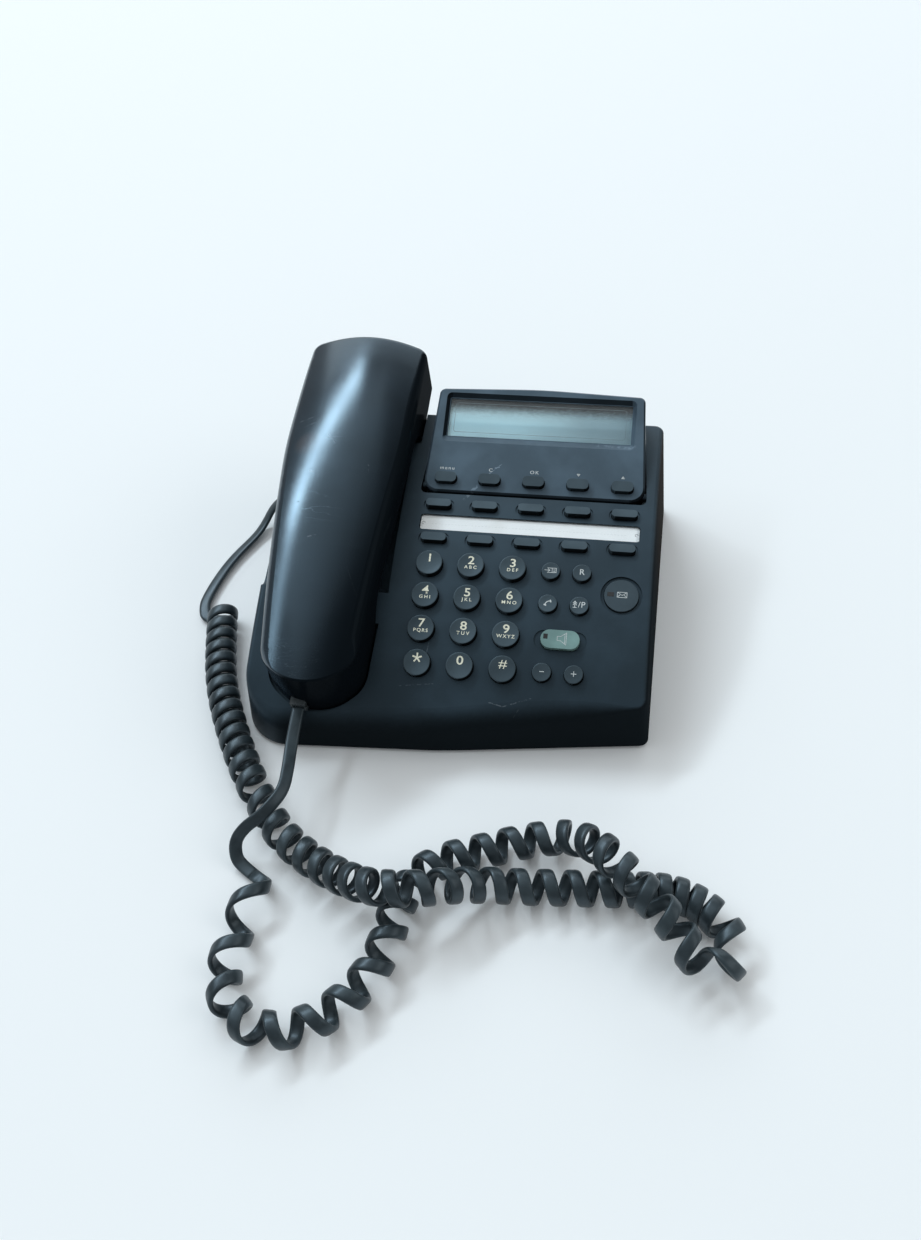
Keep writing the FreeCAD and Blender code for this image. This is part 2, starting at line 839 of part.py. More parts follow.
def ear_well_u():
    return ear_face_u() - size.ear_well_overlap


def trough_start_u():
    return mouth_well_u() + size.mouth_ledge_length


def trough_end_u():
    return ear_well_u() - size.ear_ledge_length


def hook_u():
    return ear_face_u() + size.hook_from_face


def cradle(label, wall):
    """What the base leaves free for the handset: two wells, and a trough for the fingers."""
    plan = on_handset(prism(label + "Plan", handset_plan(size.cradle_gap + wall), -FAR, 2 * FAR))
    far = size.handset_half_length + BEYOND
    drop = size.seat_gap + wall
    mouth_end = mouth_well_u() + wall
    mouth = prism(label + "Mouth", [
        (-far, mouth_w(-far, drop), 0),
        (mouth_end, mouth_w(mouth_end, drop), 0),
        (mouth_end, FAR, 0),
        (-far, FAR, 0),
    ], 0, 2 * FAR, "YZ_Plane", True)
    ear_start = ear_well_u() - wall
    ear = prism(label + "Ear", [
        (ear_start, ear_w(ear_start, drop), 0),
        (far, ear_w(far, drop), 0),
        (far, FAR, 0),
        (ear_start, FAR, 0),
    ], 0, 2 * FAR, "YZ_Plane", True)
    start, end = trough_start_u(), trough_end_u()
    trough = prism(label + "Trough", [
        (start - wall, size.trough_w - wall, size.trough_rounding),
        (end + wall, size.trough_w - wall, size.trough_rounding),
        (end + wall, FAR, 0),
        (start - wall, FAR, 0),
    ], -FAR / 2, FAR / 2 + size.trough_right_x + wall, "YZ_Plane")
    for hollow in (mouth, ear, trough):
        on_handset(hollow)
    wells = common(label + "Wells", fuse(label + "Ends", [mouth, ear]), plan)
    return fuse(label, [wells, trough])


def pocket(label, side_wall, front_wall, floor_wall):
    """What the base leaves free for the display, open at the back."""
    turn = hypotenuse(size.hinge_v, size.display_thickness - size.hinge_depth)
    front = size.hinge_y - turn - size.pocket_turn_gap - front_wall
    back = size.base_back_y + BEYOND
    half = size.display_front_width / 2 + size.pocket_side_gap + side_wall
    narrowing = (size.display_front_width - size.display_back_width) / 2 / size.display_length
    back_half = half - narrowing * (back - size.hinge_y + size.hinge_v)
    bottom = size.hinge_z - turn - size.pocket_floor_gap - floor_wall
    return prism(label, [
        (size.display_x - half, front, 3),
        (size.display_x + half, front, 3),
        (size.display_x + back_half, back, 0),
        (size.display_x - back_half, back, 0),
    ], bottom, FAR)


def post_places():
    return [(x, y) for x in (-size.post_x, size.post_x) for y in (size.post_front_y, size.post_back_y)]


def at_posts(label, radius, bottom, top):
    """The same upright disc at each of the four screw posts."""
    discs = []
    for index, (x, y) in enumerate(post_places()):
        discs.append(place(disc("%s%d" % (label, index), radius, bottom, top), x, y, 0.0))
    return discs


# Keys, placed on the panel by x and v from the middle of the digit keys
def digit_places():
    names = ("1", "2", "3", "4", "5", "6", "7", "8", "9", "star", "0", "hash")
    places = []
    for index, name in enumerate(names):
        line, column = divmod(index, 3)
        places.append(("key_" + name, (column - 1) * size.key_pitch_x, (1.5 - line) * size.key_pitch_v))
    return places


def small_places():
    """Small round keys: name, column and the line of digits that they stand beside."""
    plan = (
        ("directory_key", 0, 0), ("recall_key", 1, 0),
        ("redial_key", 0, 1), ("pause_key", 1, 1),
        ("minus_key", 0, 3), ("plus_key", 1, 3),
    )
    return [(name, size.small_key_x + size.small_key_pitch * column, (1.5 - line) * size.key_pitch_v)
            for name, column, line in plan]


def function_places():
    places = []
    for first, v in ((1, size.function_upper_v), (6, size.function_lower_v)):
        for column in range(5):
            x = size.function_key_x + size.function_key_pitch * column
            places.append(("function_key_%d" % (first + column), x, v))
    return places


def soft_places():
    return [("soft_key_%d" % (index + 1), size.soft_key_pitch * (index - 2), size.soft_key_v)
            for index in range(5)]


def key_body(label, length, width, height, wall, draw_cap):
    """A key's cap on a bar whose ends stop it under the wall, drawn by draw_cap(sketch)."""
    body = new_body(label)
    bottom = -wall - size.key_gap - size.flange_thickness
    bar = sketch_on(body, "XY_Plane", label + "Bar", bottom)
    reach = length + 2 * size.flange_reach
    draw_outline(bar, rectangle(as_size(0), as_size(0), reach, width))
    pad(body, bar, size.flange_thickness)
    cap = sketch_on(body, "XY_Plane", label + "Cap", bottom)
    draw_cap(cap)
    pad(body, cap, height - bottom)
    return body


def round_key(label, radius, height, wall):
    def draw_cap(sketch):
        draw_circle(sketch, radius)
    return key_body(label, 2 * radius, radius, height, wall, draw_cap)


def long_key(label, length, width, height, wall, end_share):
    """A key with round ends."""
    def draw_cap(sketch):
        corner = width * end_share
        draw_outline(sketch, rectangle(as_size(0), as_size(0), length, width, corner))
    return key_body(label, length, width - 2 * size.key_gap, height, wall, draw_cap)


def round_hole(label, radius):
    return disc(label, radius + size.key_gap, -2 * size.base_wall, 2 * size.base_wall)


def long_hole(label, length, width, margin, bottom, end_share):
    corner = width * end_share + margin
    return block(label, as_size(0), as_size(0), bottom, length + 2 * margin, width + 2 * margin,
                 4 * size.base_wall, corner)


def panel_keys():
    """Makes the keys of the panel, and returns the tools that cut their holes and dishes."""
    wall = size.base_wall
    tools = []
    for name, x, v in digit_places():
        piece(on_panel(round_key(name, size.key_radius, size.key_height, wall), x, v), name)
        tools.append(on_panel(round_hole(name + "Hole", size.key_radius), x, v))
    for name, x, v in small_places():
        piece(on_panel(round_key(name, size.small_key_radius, size.small_key_height, wall), x, v), name)
        tools.append(on_panel(round_hole(name + "Hole", size.small_key_radius), x, v))
    length, width = size.function_key_length, size.function_key_width
    for name, x, v in function_places():
        share = size.key_end_share
        key = long_key(name, length, width, size.function_key_height, wall, share)
        piece(on_panel(key, x, v), name)
        hole = long_hole(name + "Hole", length, width, size.key_gap, -2 * wall, share)
        tools.append(on_panel(hole, x, v))
        dish = long_hole(name + "Dish", length, width, size.dish_margin, -size.dish_depth, share)
        tools.append(on_panel(dish, x, v))
    name, x, v = "loudspeaker_key", size.loudspeaker_key_x, size.loudspeaker_key_v
    length, width = size.loudspeaker_key_length, size.loudspeaker_key_width
    share = size.pill_end_share
    piece(on_panel(long_key(name, length, width, size.key_height, wall, share), x, v), name)
    hole = long_hole(name + "Hole", length, width, size.key_gap, -2 * wall, share)
    tools.append(on_panel(hole, x, v))
    reach = length + 2 * size.loudspeaker_dish_reach
    dish = long_hole(name + "Dish", reach, width, size.key_gap, -size.dish_depth, share)
    tools.append(on_panel(dish, x, v))
    name, x, v = "message_key", size.message_key_x, size.message_key_v
    piece(on_panel(round_key(name, size.message_key_radius, size.message_key_height, wall), x, v), name)
    tools.append(on_panel(round_hole(name + "Hole", size.message_key_radius), x, v))
    rim = size.message_key_radius + size.message_dish_margin
    tools.append(on_panel(disc(name + "Dish", rim, -size.message_dish_depth, 2 * wall), x, v))
    return tools


# Base: two casings, and what they hold
def base_block(label, inset, bottom, top):
    """The base's tapering body between two heights."""
    body = new_body(label)
    sections = []
    for name, height in (("Low", bottom), ("High", top)):
        draft = (height - size.foot_height) * tangent(size.wall_draft)
        section = sketch_on(body, "XY_Plane", label + name, height)
        draw_outline(section, base_outline(inset + draft))
        sections.append(section)
    loft(body, sections)
    return body


def base_outline(inset):
    """Corners of the base's plan, moved in by inset."""
    back = size.base_back_width / 2 - inset
    front = size.base_front_width / 2 - inset
    return [
        (-front, size.front_left_y + inset, size.front_left_radius),
        (0, size.front_middle_y + inset, size.front_bow_radius),
        (front, size.front_right_y + inset, size.front_right_radius),
        (back, size.base_back_y - inset, size.back_corner_radius),
        (-back, size.base_back_y - inset, size.back_corner_radius),
    ]


def on_top_edge(edge):
    """True on the edge where the top panel meets the walls."""
    wanted = number(size.panel_radius)
    low = number(size.crown_z) - wanted
    for step in (0.0, 0.5, 1.0):
        spot = edge.valueAt(edge.FirstParameter + step * (edge.LastParameter - edge.FirstParameter))
        if abs(math.hypot(spot.y - number(size.crown_y), spot.z - low) - wanted) > 0.01:
            return False
    return True


def top_rounding(point):
    """The front edge rolls over widely and less to the right; the other edges are just broken."""
    if point.y > number(size.front_right_y):
        near_corner = point.y < number(size.front_right_y + size.front_right_radius / 2)
        return number(size.front_right_rounding if near_corner else size.base_rounding)
    return number(size.front_rounding)


def grille_slots():
    """Slots in the trough's floor, over the loudspeaker."""
    tools = []
    reach = number(size.loudspeaker_radius) * 0.72
    for index in range(-3, 4):
        x = index * 5.0
        length = as_size(2 * math.sqrt(reach ** 2 - x ** 2))
        slot = block("grilleSlot%d" % (index + 3), as_size(0), as_size(0), -1.5 * size.base_wall,
                     as_size(2.2), length, 3 * size.base_wall, 1.0)
        tools.append(on_handset(slot, x, loudspeaker_u(), size.trough_w))
    return tools


def loudspeaker_u():
    """The loudspeaker lies under the middle of the trough."""
    return (trough_start_u() + trough_end_u()) / 2


def hinge_pins(label, radius, reach):
    """A pin across each side of the display, in one line."""
    width = size.display_front_width
    pins = []
    for side in (-1, 1):
        pin = new_body("%s%d" % (label, side + 1))
        section = sketch_on(pin, "YZ_Plane", "%sSection%d" % (label, side + 1))
        draw_circle(section, radius)
        pad(pin, section, 2 * (reach + size.display_wall - 0.5), True)
        pins.append(on_display(pin, width / 2 * side, size.hinge_v, -size.hinge_depth))
    return pins


def socket_z():
    """Underside of the two sockets, just over the seam."""
    return size.seam_z + 0.5


def wall_at(height):
    """How far the drafted walls have moved in at some height."""
    return (height - size.foot_height) * tangent(size.wall_draft)


def socket_openings():
    """Cut-outs in the side wall and the back wall for the two sockets."""
    gap = size.plug_gap
    bottom = size.seam_z - 1
    height = size.socket_height + 1.5 + gap
    side = block("sideSocketHole", -size.base_back_width / 2, size.socket_y, bottom,
                 as_size(2 * BEYOND / 3), size.socket_width + 2 * gap, height)
    back = block("backSocketHole", size.line_socket_x, size.base_back_y, bottom,
                 size.socket_width + 2 * gap, as_size(2 * BEYOND / 3), height)
    return [side, back]


def make_casings():
    top = size.crown_z + 6
    outer = common("upperForm", base_block("upperBlock", as_size(0), size.seam_z, top),
                   panel_block("panelBlock", as_size(0)))
    smooth = rounded("upperSmooth", outer, on_top_edge, top_rounding)
    wall = size.base_wall
    core = common("coreForm", base_block("coreBlock", wall, size.seam_z, top),
                  panel_block("coreTop", wall))
    walls = [
        cradle("cradleWalls", wall),
        pocket("pocketWalls", size.pocket_side_wall, size.pocket_front_wall, wall),
    ]
    walls += at_posts("post", size.post_radius, size.seam_z - 1, size.crown_z)
    hollow = cut("upperHollow", core, fuse("upperWalls", walls))
    shell = cut("upperShell", smooth, hollow)
    tools = [cradle("cradle", as_size(0)), pocket("pocket", 0, 0, 0)]
    tools += panel_keys()
    tools += grille_slots()
    tools += hinge_pins("hingeHole", size.hinge_radius + size.hinge_gap, size.hinge_reach + 0.4)
    tools += socket_openings()
    tools += at_posts("pilot", size.screw_radius + size.screw_gap, size.seam_z - 1,
                      size.seam_z + size.screw_length - 2)
    label = block("labelRecess", as_size(0), as_size(0), -size.label_depth, size.label_length,
                  size.label_width, 4 * wall, size.label_corner)
    tools.append(on_panel(label, size.label_x, size.label_v))
    hook = disc("hookHole", size.hook_radius + size.hook_gap, -3 * wall, 3 * wall)
    tools.append(on_handset(hook, 0.0, hook_u(), ear_w(hook_u())))
    piece(cut("upperCasing", shell, fuse("upperTools", tools)), "upper_casing")
    make_lower_casing()


def make_lower_casing():
    wall = size.base_wall
    floor = size.foot_height + wall
    tray = cut("trayShell", base_block("trayBlock", as_size(0), size.foot_height, size.seam_z),
               base_block("trayHollow", wall, floor, size.seam_z + 1))
    bosses = at_posts("boss", size.post_radius + 1.5, size.foot_height, size.seam_z)
    under_board = block("underBoard", as_size(0), as_size(0), -2 * FAR, board_width(),
                        size.board_length, 2 * FAR)
    on_panel(under_board, board_x(), size.board_v, -size.board_depth - size.board_thickness)
    posts = []
    for index, (x, y) in enumerate(board_post_places()):
        post = disc("boardPost%d" % index, size.board_post_radius, size.foot_height, size.crown_z)
        posts.append(place(post, x, y, 0.0))
    cut_posts = common("boardPosts", fuse("boardPostRods", posts), under_board)
    solid = fuse("traySolid", [tray, cut_posts] + bosses)
    seat = screw_seat()
    tools = at_posts("counterbore", size.screw_head_radius + 0.4, 0, seat)
    tools += at_posts("screwHole", size.screw_radius + 2 * size.screw_gap, 0, size.seam_z + 1)
    for index, (x, y) in enumerate(foot_places()):
        recess = disc("footRecess%d" % index, size.foot_radius + 0.2, 0, size.foot_height + size.foot_recess)
        tools.append(place(recess, x, y, 0.0))
    piece(cut("lowerCasing", solid, fuse("trayTools", tools)), "lower_casing")


def screw_seat():
    """Height of the step that a screw's head bears on."""
    return size.seam_z - 3.5


def foot_places():
    return [(x, y) for x in (-size.post_x, size.post_x)
            for y in (size.post_front_y + 15, size.post_back_y - 16)]


def board_width():
    return size.post_x - size.post_radius - size.board_gap - size.board_left_x


def board_x():
    """Middle of the board, measured from the middle of the digit keys."""
    return size.board_left_x + board_width() / 2 - size.keypad_x


def board_post_places():
    """Posts that carry the circuit board, under its corners."""
    x = size.keypad_x + board_x()
    reach = board_width() / 2 - size.board_post_inset
    slope = panel_slope(size.board_v)
    middle = size.crown_y - (size.panel_radius - size.board_depth) * sine(slope)
    run = (size.board_length / 2 - size.board_post_inset) * cosine(slope)
    return [(x + side * reach, middle + end * run) for side in (-1, 1) for end in (-1, 1)]


def make_base_contents():
    mat = block("matBlock", as_size(0), as_size(0), 0, board_width(), size.board_length, as_size(20.0))
    on_panel(mat, board_x(), size.board_v, -size.board_depth)
    depth = size.base_wall + size.key_gap + size.flange_thickness + size.key_travel + size.mat_gap
    piece(common("keypadMat", mat, panel_block("matTop", depth)), "keypad_mat")
    board = block("board", as_size(0), as_size(0), -size.board_thickness, board_width(),
                  size.board_length, size.board_thickness)
    piece(on_panel(board, board_x(), size.board_v, -size.board_depth), "circuit_board")
    length = size.label_length - 2 * size.label_gap
    width = size.label_width - 2 * size.label_gap
    corner = size.label_corner - size.label_gap
    card = block("card", as_size(0), as_size(0), -size.label_depth, length, width,
                 size.card_thickness, corner)
    piece(on_panel(card, size.label_x, size.label_v), "label_card")
    window = block("labelCover", as_size(0), as_size(0), size.card_thickness - size.label_depth,
                   length, width, size.label_window_thickness, corner)
    piece(on_panel(window, size.label_x, size.label_v), "label_window")
    speaker = turned("speaker", [
        (0, 0, 0),
        (size.loudspeaker_radius * 0.5, 0, 0),
        (size.loudspeaker_radius * 0.5, size.loudspeaker_depth * 0.6, 0),
        (size.loudspeaker_radius, size.loudspeaker_depth * 0.6, 0),
        (size.loudspeaker_radius, size.loudspeaker_depth, 0),
        (0, size.loudspeaker_depth, 0),
    ])
    top = size.trough_w - size.base_wall
    piece(on_handset(speaker, 0.0, loudspeaker_u(), top - size.loudspeaker_depth), "loudspeaker")
    make_hook_switch()
    make_fasteners()


def make_hook_switch():
    """A plunger that the handset's ear end holds down, with a flange under the well's floor."""
    floor = ear_w(hook_u(), size.seat_gap)
    flange_top = floor - size.base_wall - 0.6 - size.hook_travel - size.hook_gap
    bottom = -size.hook_length
    plunger = turned("hook", [
        (0, bottom, 0),
        (size.hook_radius, bottom, 0),
        (size.hook_radius, flange_top - floor - 1.5, 0),
        (size.hook_radius + size.hook_flange, flange_top - floor - 1.5, 0),
        (size.hook_radius + size.hook_flange, flange_top - floor, 0),
        (size.hook_radius, flange_top - floor, 0),
        (size.hook_radius, 0, 0),
        (0, 0, 0),
    ])
    piece(on_handset(plunger, 0.0, hook_u(), floor - 0.4), "hook_switch")


def make_fasteners():
    seat = screw_seat()
    screws, feet = [], []
    for index, (x, y) in enumerate(post_places()):
        screw = turned("screw%d" % index, [
            (0, seat - size.screw_head_height, 0),
            (size.screw_head_radius, seat - size.screw_head_height, 0),
            (size.screw_head_radius, seat, 0),
            (size.screw_radius, seat, 0),
            (size.screw_radius, seat + size.screw_length, 0),
            (0, seat + size.screw_length, 0),
        ])
        screws.append(place(screw, x, y, 0.0))
    for index, (x, y) in enumerate(foot_places()):
        foot = disc("foot%d" % index, size.foot_radius, 0, size.foot_height + size.foot_recess)
        feet.append(place(foot, x, y, 0.0))
    piece(group("screws", screws), "housing_screws")
    piece(group("feet", feet), "rubber_feet")


# Display module
def display_outline(inset):
    """Corners of the display's face, with the bowed edge at the back."""
    front = size.display_front_width / 2 - inset
    back = size.display_back_width / 2 - inset
    end = size.display_length - inset
    return [
        (-front, inset, size.display_front_radius - inset),
        (front, inset, size.display_front_radius - inset),
        (back, end - size.display_arch, size.display_back_radius - inset / 2),
        (0, end, 300),
        (-back, end - size.display_arch, size.display_back_radius - inset / 2),
    ]


def bezel_width():
    return size.display_back_width - 2 * size.bezel_side


def bezel_v():
    return size.display_length - size.bezel_back - size.bezel_length / 2


def glass_width():
    return bezel_width() - 2 * size.glass_side


def glass_v():
    return bezel_v() + size.glass_shift


def make_display():
    wall = size.display_wall
    frame = prism("displayFrame", display_outline(as_size(0)), -size.display_seam, size.display_seam)
    chamfer_edges(frame, size.display_chamfer, lies_at(0))
    hollow = prism("displayHollow", display_outline(wall), -size.display_seam - 1,
                   size.display_seam + 1 - wall)
    seat_depth = size.bezel_depth + size.window_thickness
    lcd_seat = block("lcdSeat", as_size(0), bezel_v(), -seat_depth, bezel_width() + 2 * wall,
                     size.bezel_length + 2 * wall, seat_depth)
    body = on_display(cut_in_frame("displayShell", frame, hollow, lcd_seat))
    tools = [bezel_tool()]
    glass = block("glassHole", as_size(0), glass_v(), -3 * size.display_wall,
                  glass_width(), size.glass_length, 6 * size.display_wall)
    tools.append(on_display(glass))
    for name, x, v in soft_places():
        share = size.key_end_share
        hole = long_hole(name + "Hole", size.soft_key_length, size.soft_key_width, size.key_gap,
                         -2 * wall, share)
        tools.append(on_display(hole, x, v))
        key = long_key(name, size.soft_key_length, size.soft_key_width, size.soft_key_height, wall,
                       share)
        piece(on_display(key, x, v), name)
    opened = cut("displayOpened", body, fuse("displayTools", tools))
    pins = hinge_pins("hingePin", size.hinge_radius, size.hinge_reach)
    piece(fuse("displayHousing", [opened] + pins), "display_housing")
    make_display_contents()


def cut_in_frame(label, frame, hollow, kept):
    """A shell that keeps a block inside its hollow."""
    return cut(label, frame, cut(label + "Hollow", hollow, kept))


def bezel_tool():
    """The sunk frame round the glass, wider at the face than at the glass."""
    body = new_body("bezel")
    low = sketch_on(body, "XY_Plane", "bezelLow", -size.bezel_depth)
    draw_outline(low, rectangle(as_size(0), glass_v(), glass_width() + 0.8,
                                size.glass_length + 0.8, size.bezel_corner / 3))
    high = sketch_on(body, "XY_Plane", "bezelHigh", 0.0)
    draw_outline(high, rectangle(as_size(0), bezel_v(), bezel_width(), size.bezel_length,
                                 size.bezel_corner))
    loft(body, [low, high])
    return on_display(body)


def make_display_contents():
    depth = size.bezel_depth + size.window_thickness
    gap = 2 * size.glass_gap
    window = block("window", as_size(0), glass_v(), -depth, glass_width() - gap,
                   size.glass_length - gap, size.window_thickness)
    piece(on_display(window), "display_window")
    glass = block("lcdGlass", as_size(0), bezel_v(), -depth - size.lcd_thickness, bezel_width(),
                  size.bezel_length - 2 * size.lcd_gap, size.lcd_thickness)
    reach = size.display_length - size.display_arch
    length = reach - 2 * size.display_wall - 2 * size.lcd_gap
    board = block("lcdBoard", as_size(0), reach / 2,
                  -depth - size.lcd_thickness - size.lcd_board_thickness,
                  bezel_width(), length, size.lcd_board_thickness)
    piece(on_display(fuse("lcdPanel", [glass, board])), "lcd_panel")
    wall = size.display_wall
    cover = prism("displayCover", display_outline(as_size(0)), -size.display_thickness,
                  size.display_thickness - size.display_seam)
    chamfer_edges(cover, size.display_chamfer, lies_at(-size.display_thickness))
    inside = prism("displayCoverHollow", display_outline(wall), wall - size.display_thickness,
                   size.display_thickness)
    piece(on_display(cut("displayRear", cover, inside)), "display_rear_cover")


# Sockets and plugs
def make_sockets():
    z = socket_z()
    half_width = size.base_back_width / 2
    x = wall_at(z + size.socket_height) - half_width + size.jack_inset
    depth, width, height = size.socket_depth, size.socket_width, size.socket_height
    opening, opening_height = size.plug_width + 2 * size.plug_gap, size.plug_height + 2 * size.plug_gap
    side = block("sideSocket", x + depth / 2, size.socket_y, z, depth, width, height)
    hole_z = z + size.jack_wall
    side_hole = block("sideSocketInside", x, size.socket_y, hole_z, 2 * (depth - 2), opening,
                      opening_height)
    piece(cut("baseJack", side, side_hole), "base_jack")
    y = size.base_back_y - wall_at(z + size.socket_height) - size.jack_inset
    back = block("backSocket", size.line_socket_x, y - depth / 2, z, width, depth, height)
    back_hole = block("backSocketInside", size.line_socket_x, y, hole_z, opening, 2 * (depth - 2),
                      opening_height)
    piece(cut("lineJack", back, back_hole), "line_jack")
    plug = block("sidePlug", x - size.plug_proud + size.plug_length / 2, size.socket_y,
                 hole_z + size.plug_gap, size.plug_length, size.plug_width, size.plug_height)
    piece(plug, "base_plug")
    length = size.plug_length
    front = block("frontPlug", as_size(0), length / 2 - size.handset_half_length + size.plug_inset, 0,
                  size.plug_width, length, size.plug_height)
    piece(on_handset(front, size.plug_x, 0.0, plug_floor()), "handset_plug")


# Curly cord: one tube wound round a smooth line, and a leader at each end
def smooth_line(points):
    """A curve drawn by its control points, from the first to the last."""
    poles = [Vector(*point) for point in points]
    curve = Part.BSplineCurve()
    repeats = [3] + [1] * (len(poles) - 3) + [3]
    curve.buildFromPolesMultsKnots(poles, repeats, list(range(len(poles) - 1)), False, 2)
    return curve


def pitch_at(distance):
    for (before, low), (after, high) in zip(PITCHES, PITCHES[1:]):
        if distance <= after:
            return low + (high - low) * (distance - before) / (after - before)
    return PITCHES[-1][1]


def interpolate(value, table):
    """Looks value up between the rows of a rising table of pairs."""
    for (low, first), (high, last) in zip(table, table[1:]):
        if value <= high:
            return first + (last - first) * (value - low) / (high - low)
    return table[-1][1]


class Winding:
    """The helix of the curls: a point and a heading for each distance along the axis."""

    def __init__(self, axis, radius, turns):
        self.axis = axis
        self.radius = radius
        self.length = axis.length()
        steps = 400
        step = self.length / steps
        wound = [0.0]
        for index in range(steps):
            wound.append(wound[-1] + step / pitch_at((index + 0.5) * step))
        scale = turns / wound[-1]
        self.turns_at = [(index * step, count * scale) for index, count in enumerate(wound)]
        self.distance_of = [(count, distance) for distance, count in self.turns_at]

    def point(self, distance):
        """The first turn starts under the axis."""
        place_on = self.axis.parameterAtDistance(distance, self.axis.FirstParameter)
        ahead = Vector(*self.axis.tangent(place_on)[0])
        side = ahead.cross(Vector(0, 0, 1)).normalize()
        up = side.cross(ahead)
        angle = math.pi + 2 * math.pi * interpolate(distance, self.turns_at)
        offset = up * (self.radius * math.cos(angle)) + side * (self.radius * math.sin(angle))
        return self.axis.value(place_on) + offset

    def heading(self, distance):
        step = 0.02
        before = max(distance - step, 0.0)
        after = min(distance + step, self.length)
        return (self.point(after) - self.point(before)).normalize()


def arc_between(start, heading, end):
    """The arc that leaves start along heading and ends at end."""
    across = end - start
    lean = heading - across * (heading.dot(across) / across.dot(across))
    angle = heading.getAngle(across)
    rise = across.Length / 2 * math.tan(angle / 2)
    return Part.Arc(start, (start + end) / 2 + lean.normalize() * rise, end)


def two_arcs(start, heading, end, arrival):
    """Two arcs that leave start along heading and reach end along arrival."""
    across = end - start
    along = across.dot(heading + arrival)
    lean = 2 * (1 - heading.dot(arrival))
    reach = (math.sqrt(along ** 2 + lean * across.dot(across)) - along) / lean
    early, late = start + heading * reach, end - arrival * reach
    middle = (early + late) / 2
    return [arc_between(start, heading, middle), arc_between(middle, (late - early).normalize(), end)]


def route(corners):
    """Straight runs that an arc joins at each corner, and the radii of the arcs."""
    share = 0.45
    curves, radii = [], []
    spot = corners[0]
    for before, corner, after in zip(corners, corners[1:], corners[2:]):
        heading = (corner - before).normalize()
        leaving = (after - corner).normalize()
        half = heading.getAngle(leaving) / 2
        reach = share * min(before.distanceToPoint(corner), corner.distanceToPoint(after))
        radius = reach / math.tan(half)
        inward = (leaving - heading).normalize()
        middle = corner + inward * (radius / math.cos(half) - radius)
        start, end = corner - heading * reach, corner + leaving * reach
        curves += [Part.LineSegment(spot, start), Part.Arc(start, middle, end)]
        radii.append(radius)
        spot = end
    curves.append(Part.LineSegment(spot, corners[-1]))
    return curves, radii


def cord_tube(label, curves):
    """A tube with a square section that has the round wire's area."""
    edges = [curve.toShape() for curve in curves]
    path = Part.Wire(edges)
    half = number(size.wire) * math.sqrt(math.pi) / 4
    start = curves[0].StartPoint
    heading = Vector(*curves[0].tangent(curves[0].FirstParameter)[0])
    side = heading.cross(Vector(0, 0, 1)).normalize() * half
    up = side.cross(heading)
    corners = [start + side + up, start - side + up, start - side - up, start + side - up]
    shell = Part.BRepOffsetAPI.MakePipeShell(path)
    shell.add(Part.makePolygon(corners + corners[:1]))
    shell.build()
    shell.makeSolid()
    tube = doc.addObject("Part::Feature", label)
    tube.Shape = shell.shape()
    piece(tube, label)
    wanted = path.Length * (2 * half) ** 2
    print("%s: length %.1f, volume %.1f, section times length %.1f" % (
        label, path.Length, tube.Shape.Volume, wanted))
    return path


def least_gap(path, apart):
    """Least clear distance between stretches of a tube that are more than apart along it."""
    spacing = 1.0
    spots = path.discretize(Distance=spacing)
    cell = 2 * number(size.curl_radius)
    cells = {}
    for index, spot in enumerate(spots):
        key = (int(spot.x // cell), int(spot.y // cell), int(spot.z // cell))
        cells.setdefault(key, []).append(index)
    nearest = FAR
    for (x, y, z), members in cells.items():
        around = [index for i in (0, 1) for j in (-1, 0, 1) for k in (-1, 0, 1)
                  for index in cells.get((x + i, y + j, z + k), ())]
        for first in members:
            for second in around:
                if abs(first - second) * spacing > apart:
                    nearest = min(nearest, spots[first].distanceToPoint(spots[second]))
    return nearest - number(size.wire)


def plug_face_in_base():
    """Middle of the outer face of the plug in the base's side."""
    inset = wall_at(socket_z() + size.socket_height) + size.jack_inset
    x = inset - size.base_back_width / 2 - size.plug_proud
    z = socket_z() + size.jack_wall + size.plug_gap + size.plug_height / 2
    return Vector(number(x), number(size.socket_y), number(z))


def handset_ways():
    """The directions along the handset to its ear end, and out of its back."""
    slope = math.radians(number(size.handset_slope))
    return Vector(0, math.cos(slope), math.sin(slope)), Vector(0, -math.sin(slope), math.cos(slope))


def plug_face_on_handset():
    """Middle of the outer face of the plug in the handset's mouth end."""
    along, out = handset_ways()
    middle = Vector(number(size.handset_x + size.plug_x), number(size.handset_y), number(size.handset_z))
    u = number(size.plug_inset - size.handset_half_length)
    return middle + along * u + out * number(plug_floor() + size.plug_height / 2)


def coil_curves(winding):
    """Two arcs for each half turn, with a level straight end at each side."""
    halves = int(2 * number(size.curl_turns))
    places = [interpolate(index / 2, winding.distance_of) for index in range(halves + 1)]
    spots = [winding.point(place_on) for place_on in places]
    headings = [winding.heading(place_on) for place_on in places]
    for end in (0, -1):
        headings[end] = Vector(headings[end].x, headings[end].y, 0).normalize()
    lead = number(size.wire)
    first, last = spots[0] - headings[0] * lead, spots[-1] + headings[-1] * lead
    curves = [Part.LineSegment(first, spots[0])]
    for index in range(halves):
        curves += two_arcs(spots[index], headings[index], spots[index + 1], headings[index + 1])
    curves.append(Part.LineSegment(spots[-1], last))
    return curves, (first, headings[0]), (last, headings[-1])


def make_leader(label, corners):
    curves, radii = route(corners)
    cord_tube(label, curves)
    print(label, "bends", [round(radius, 1) for radius in radii])


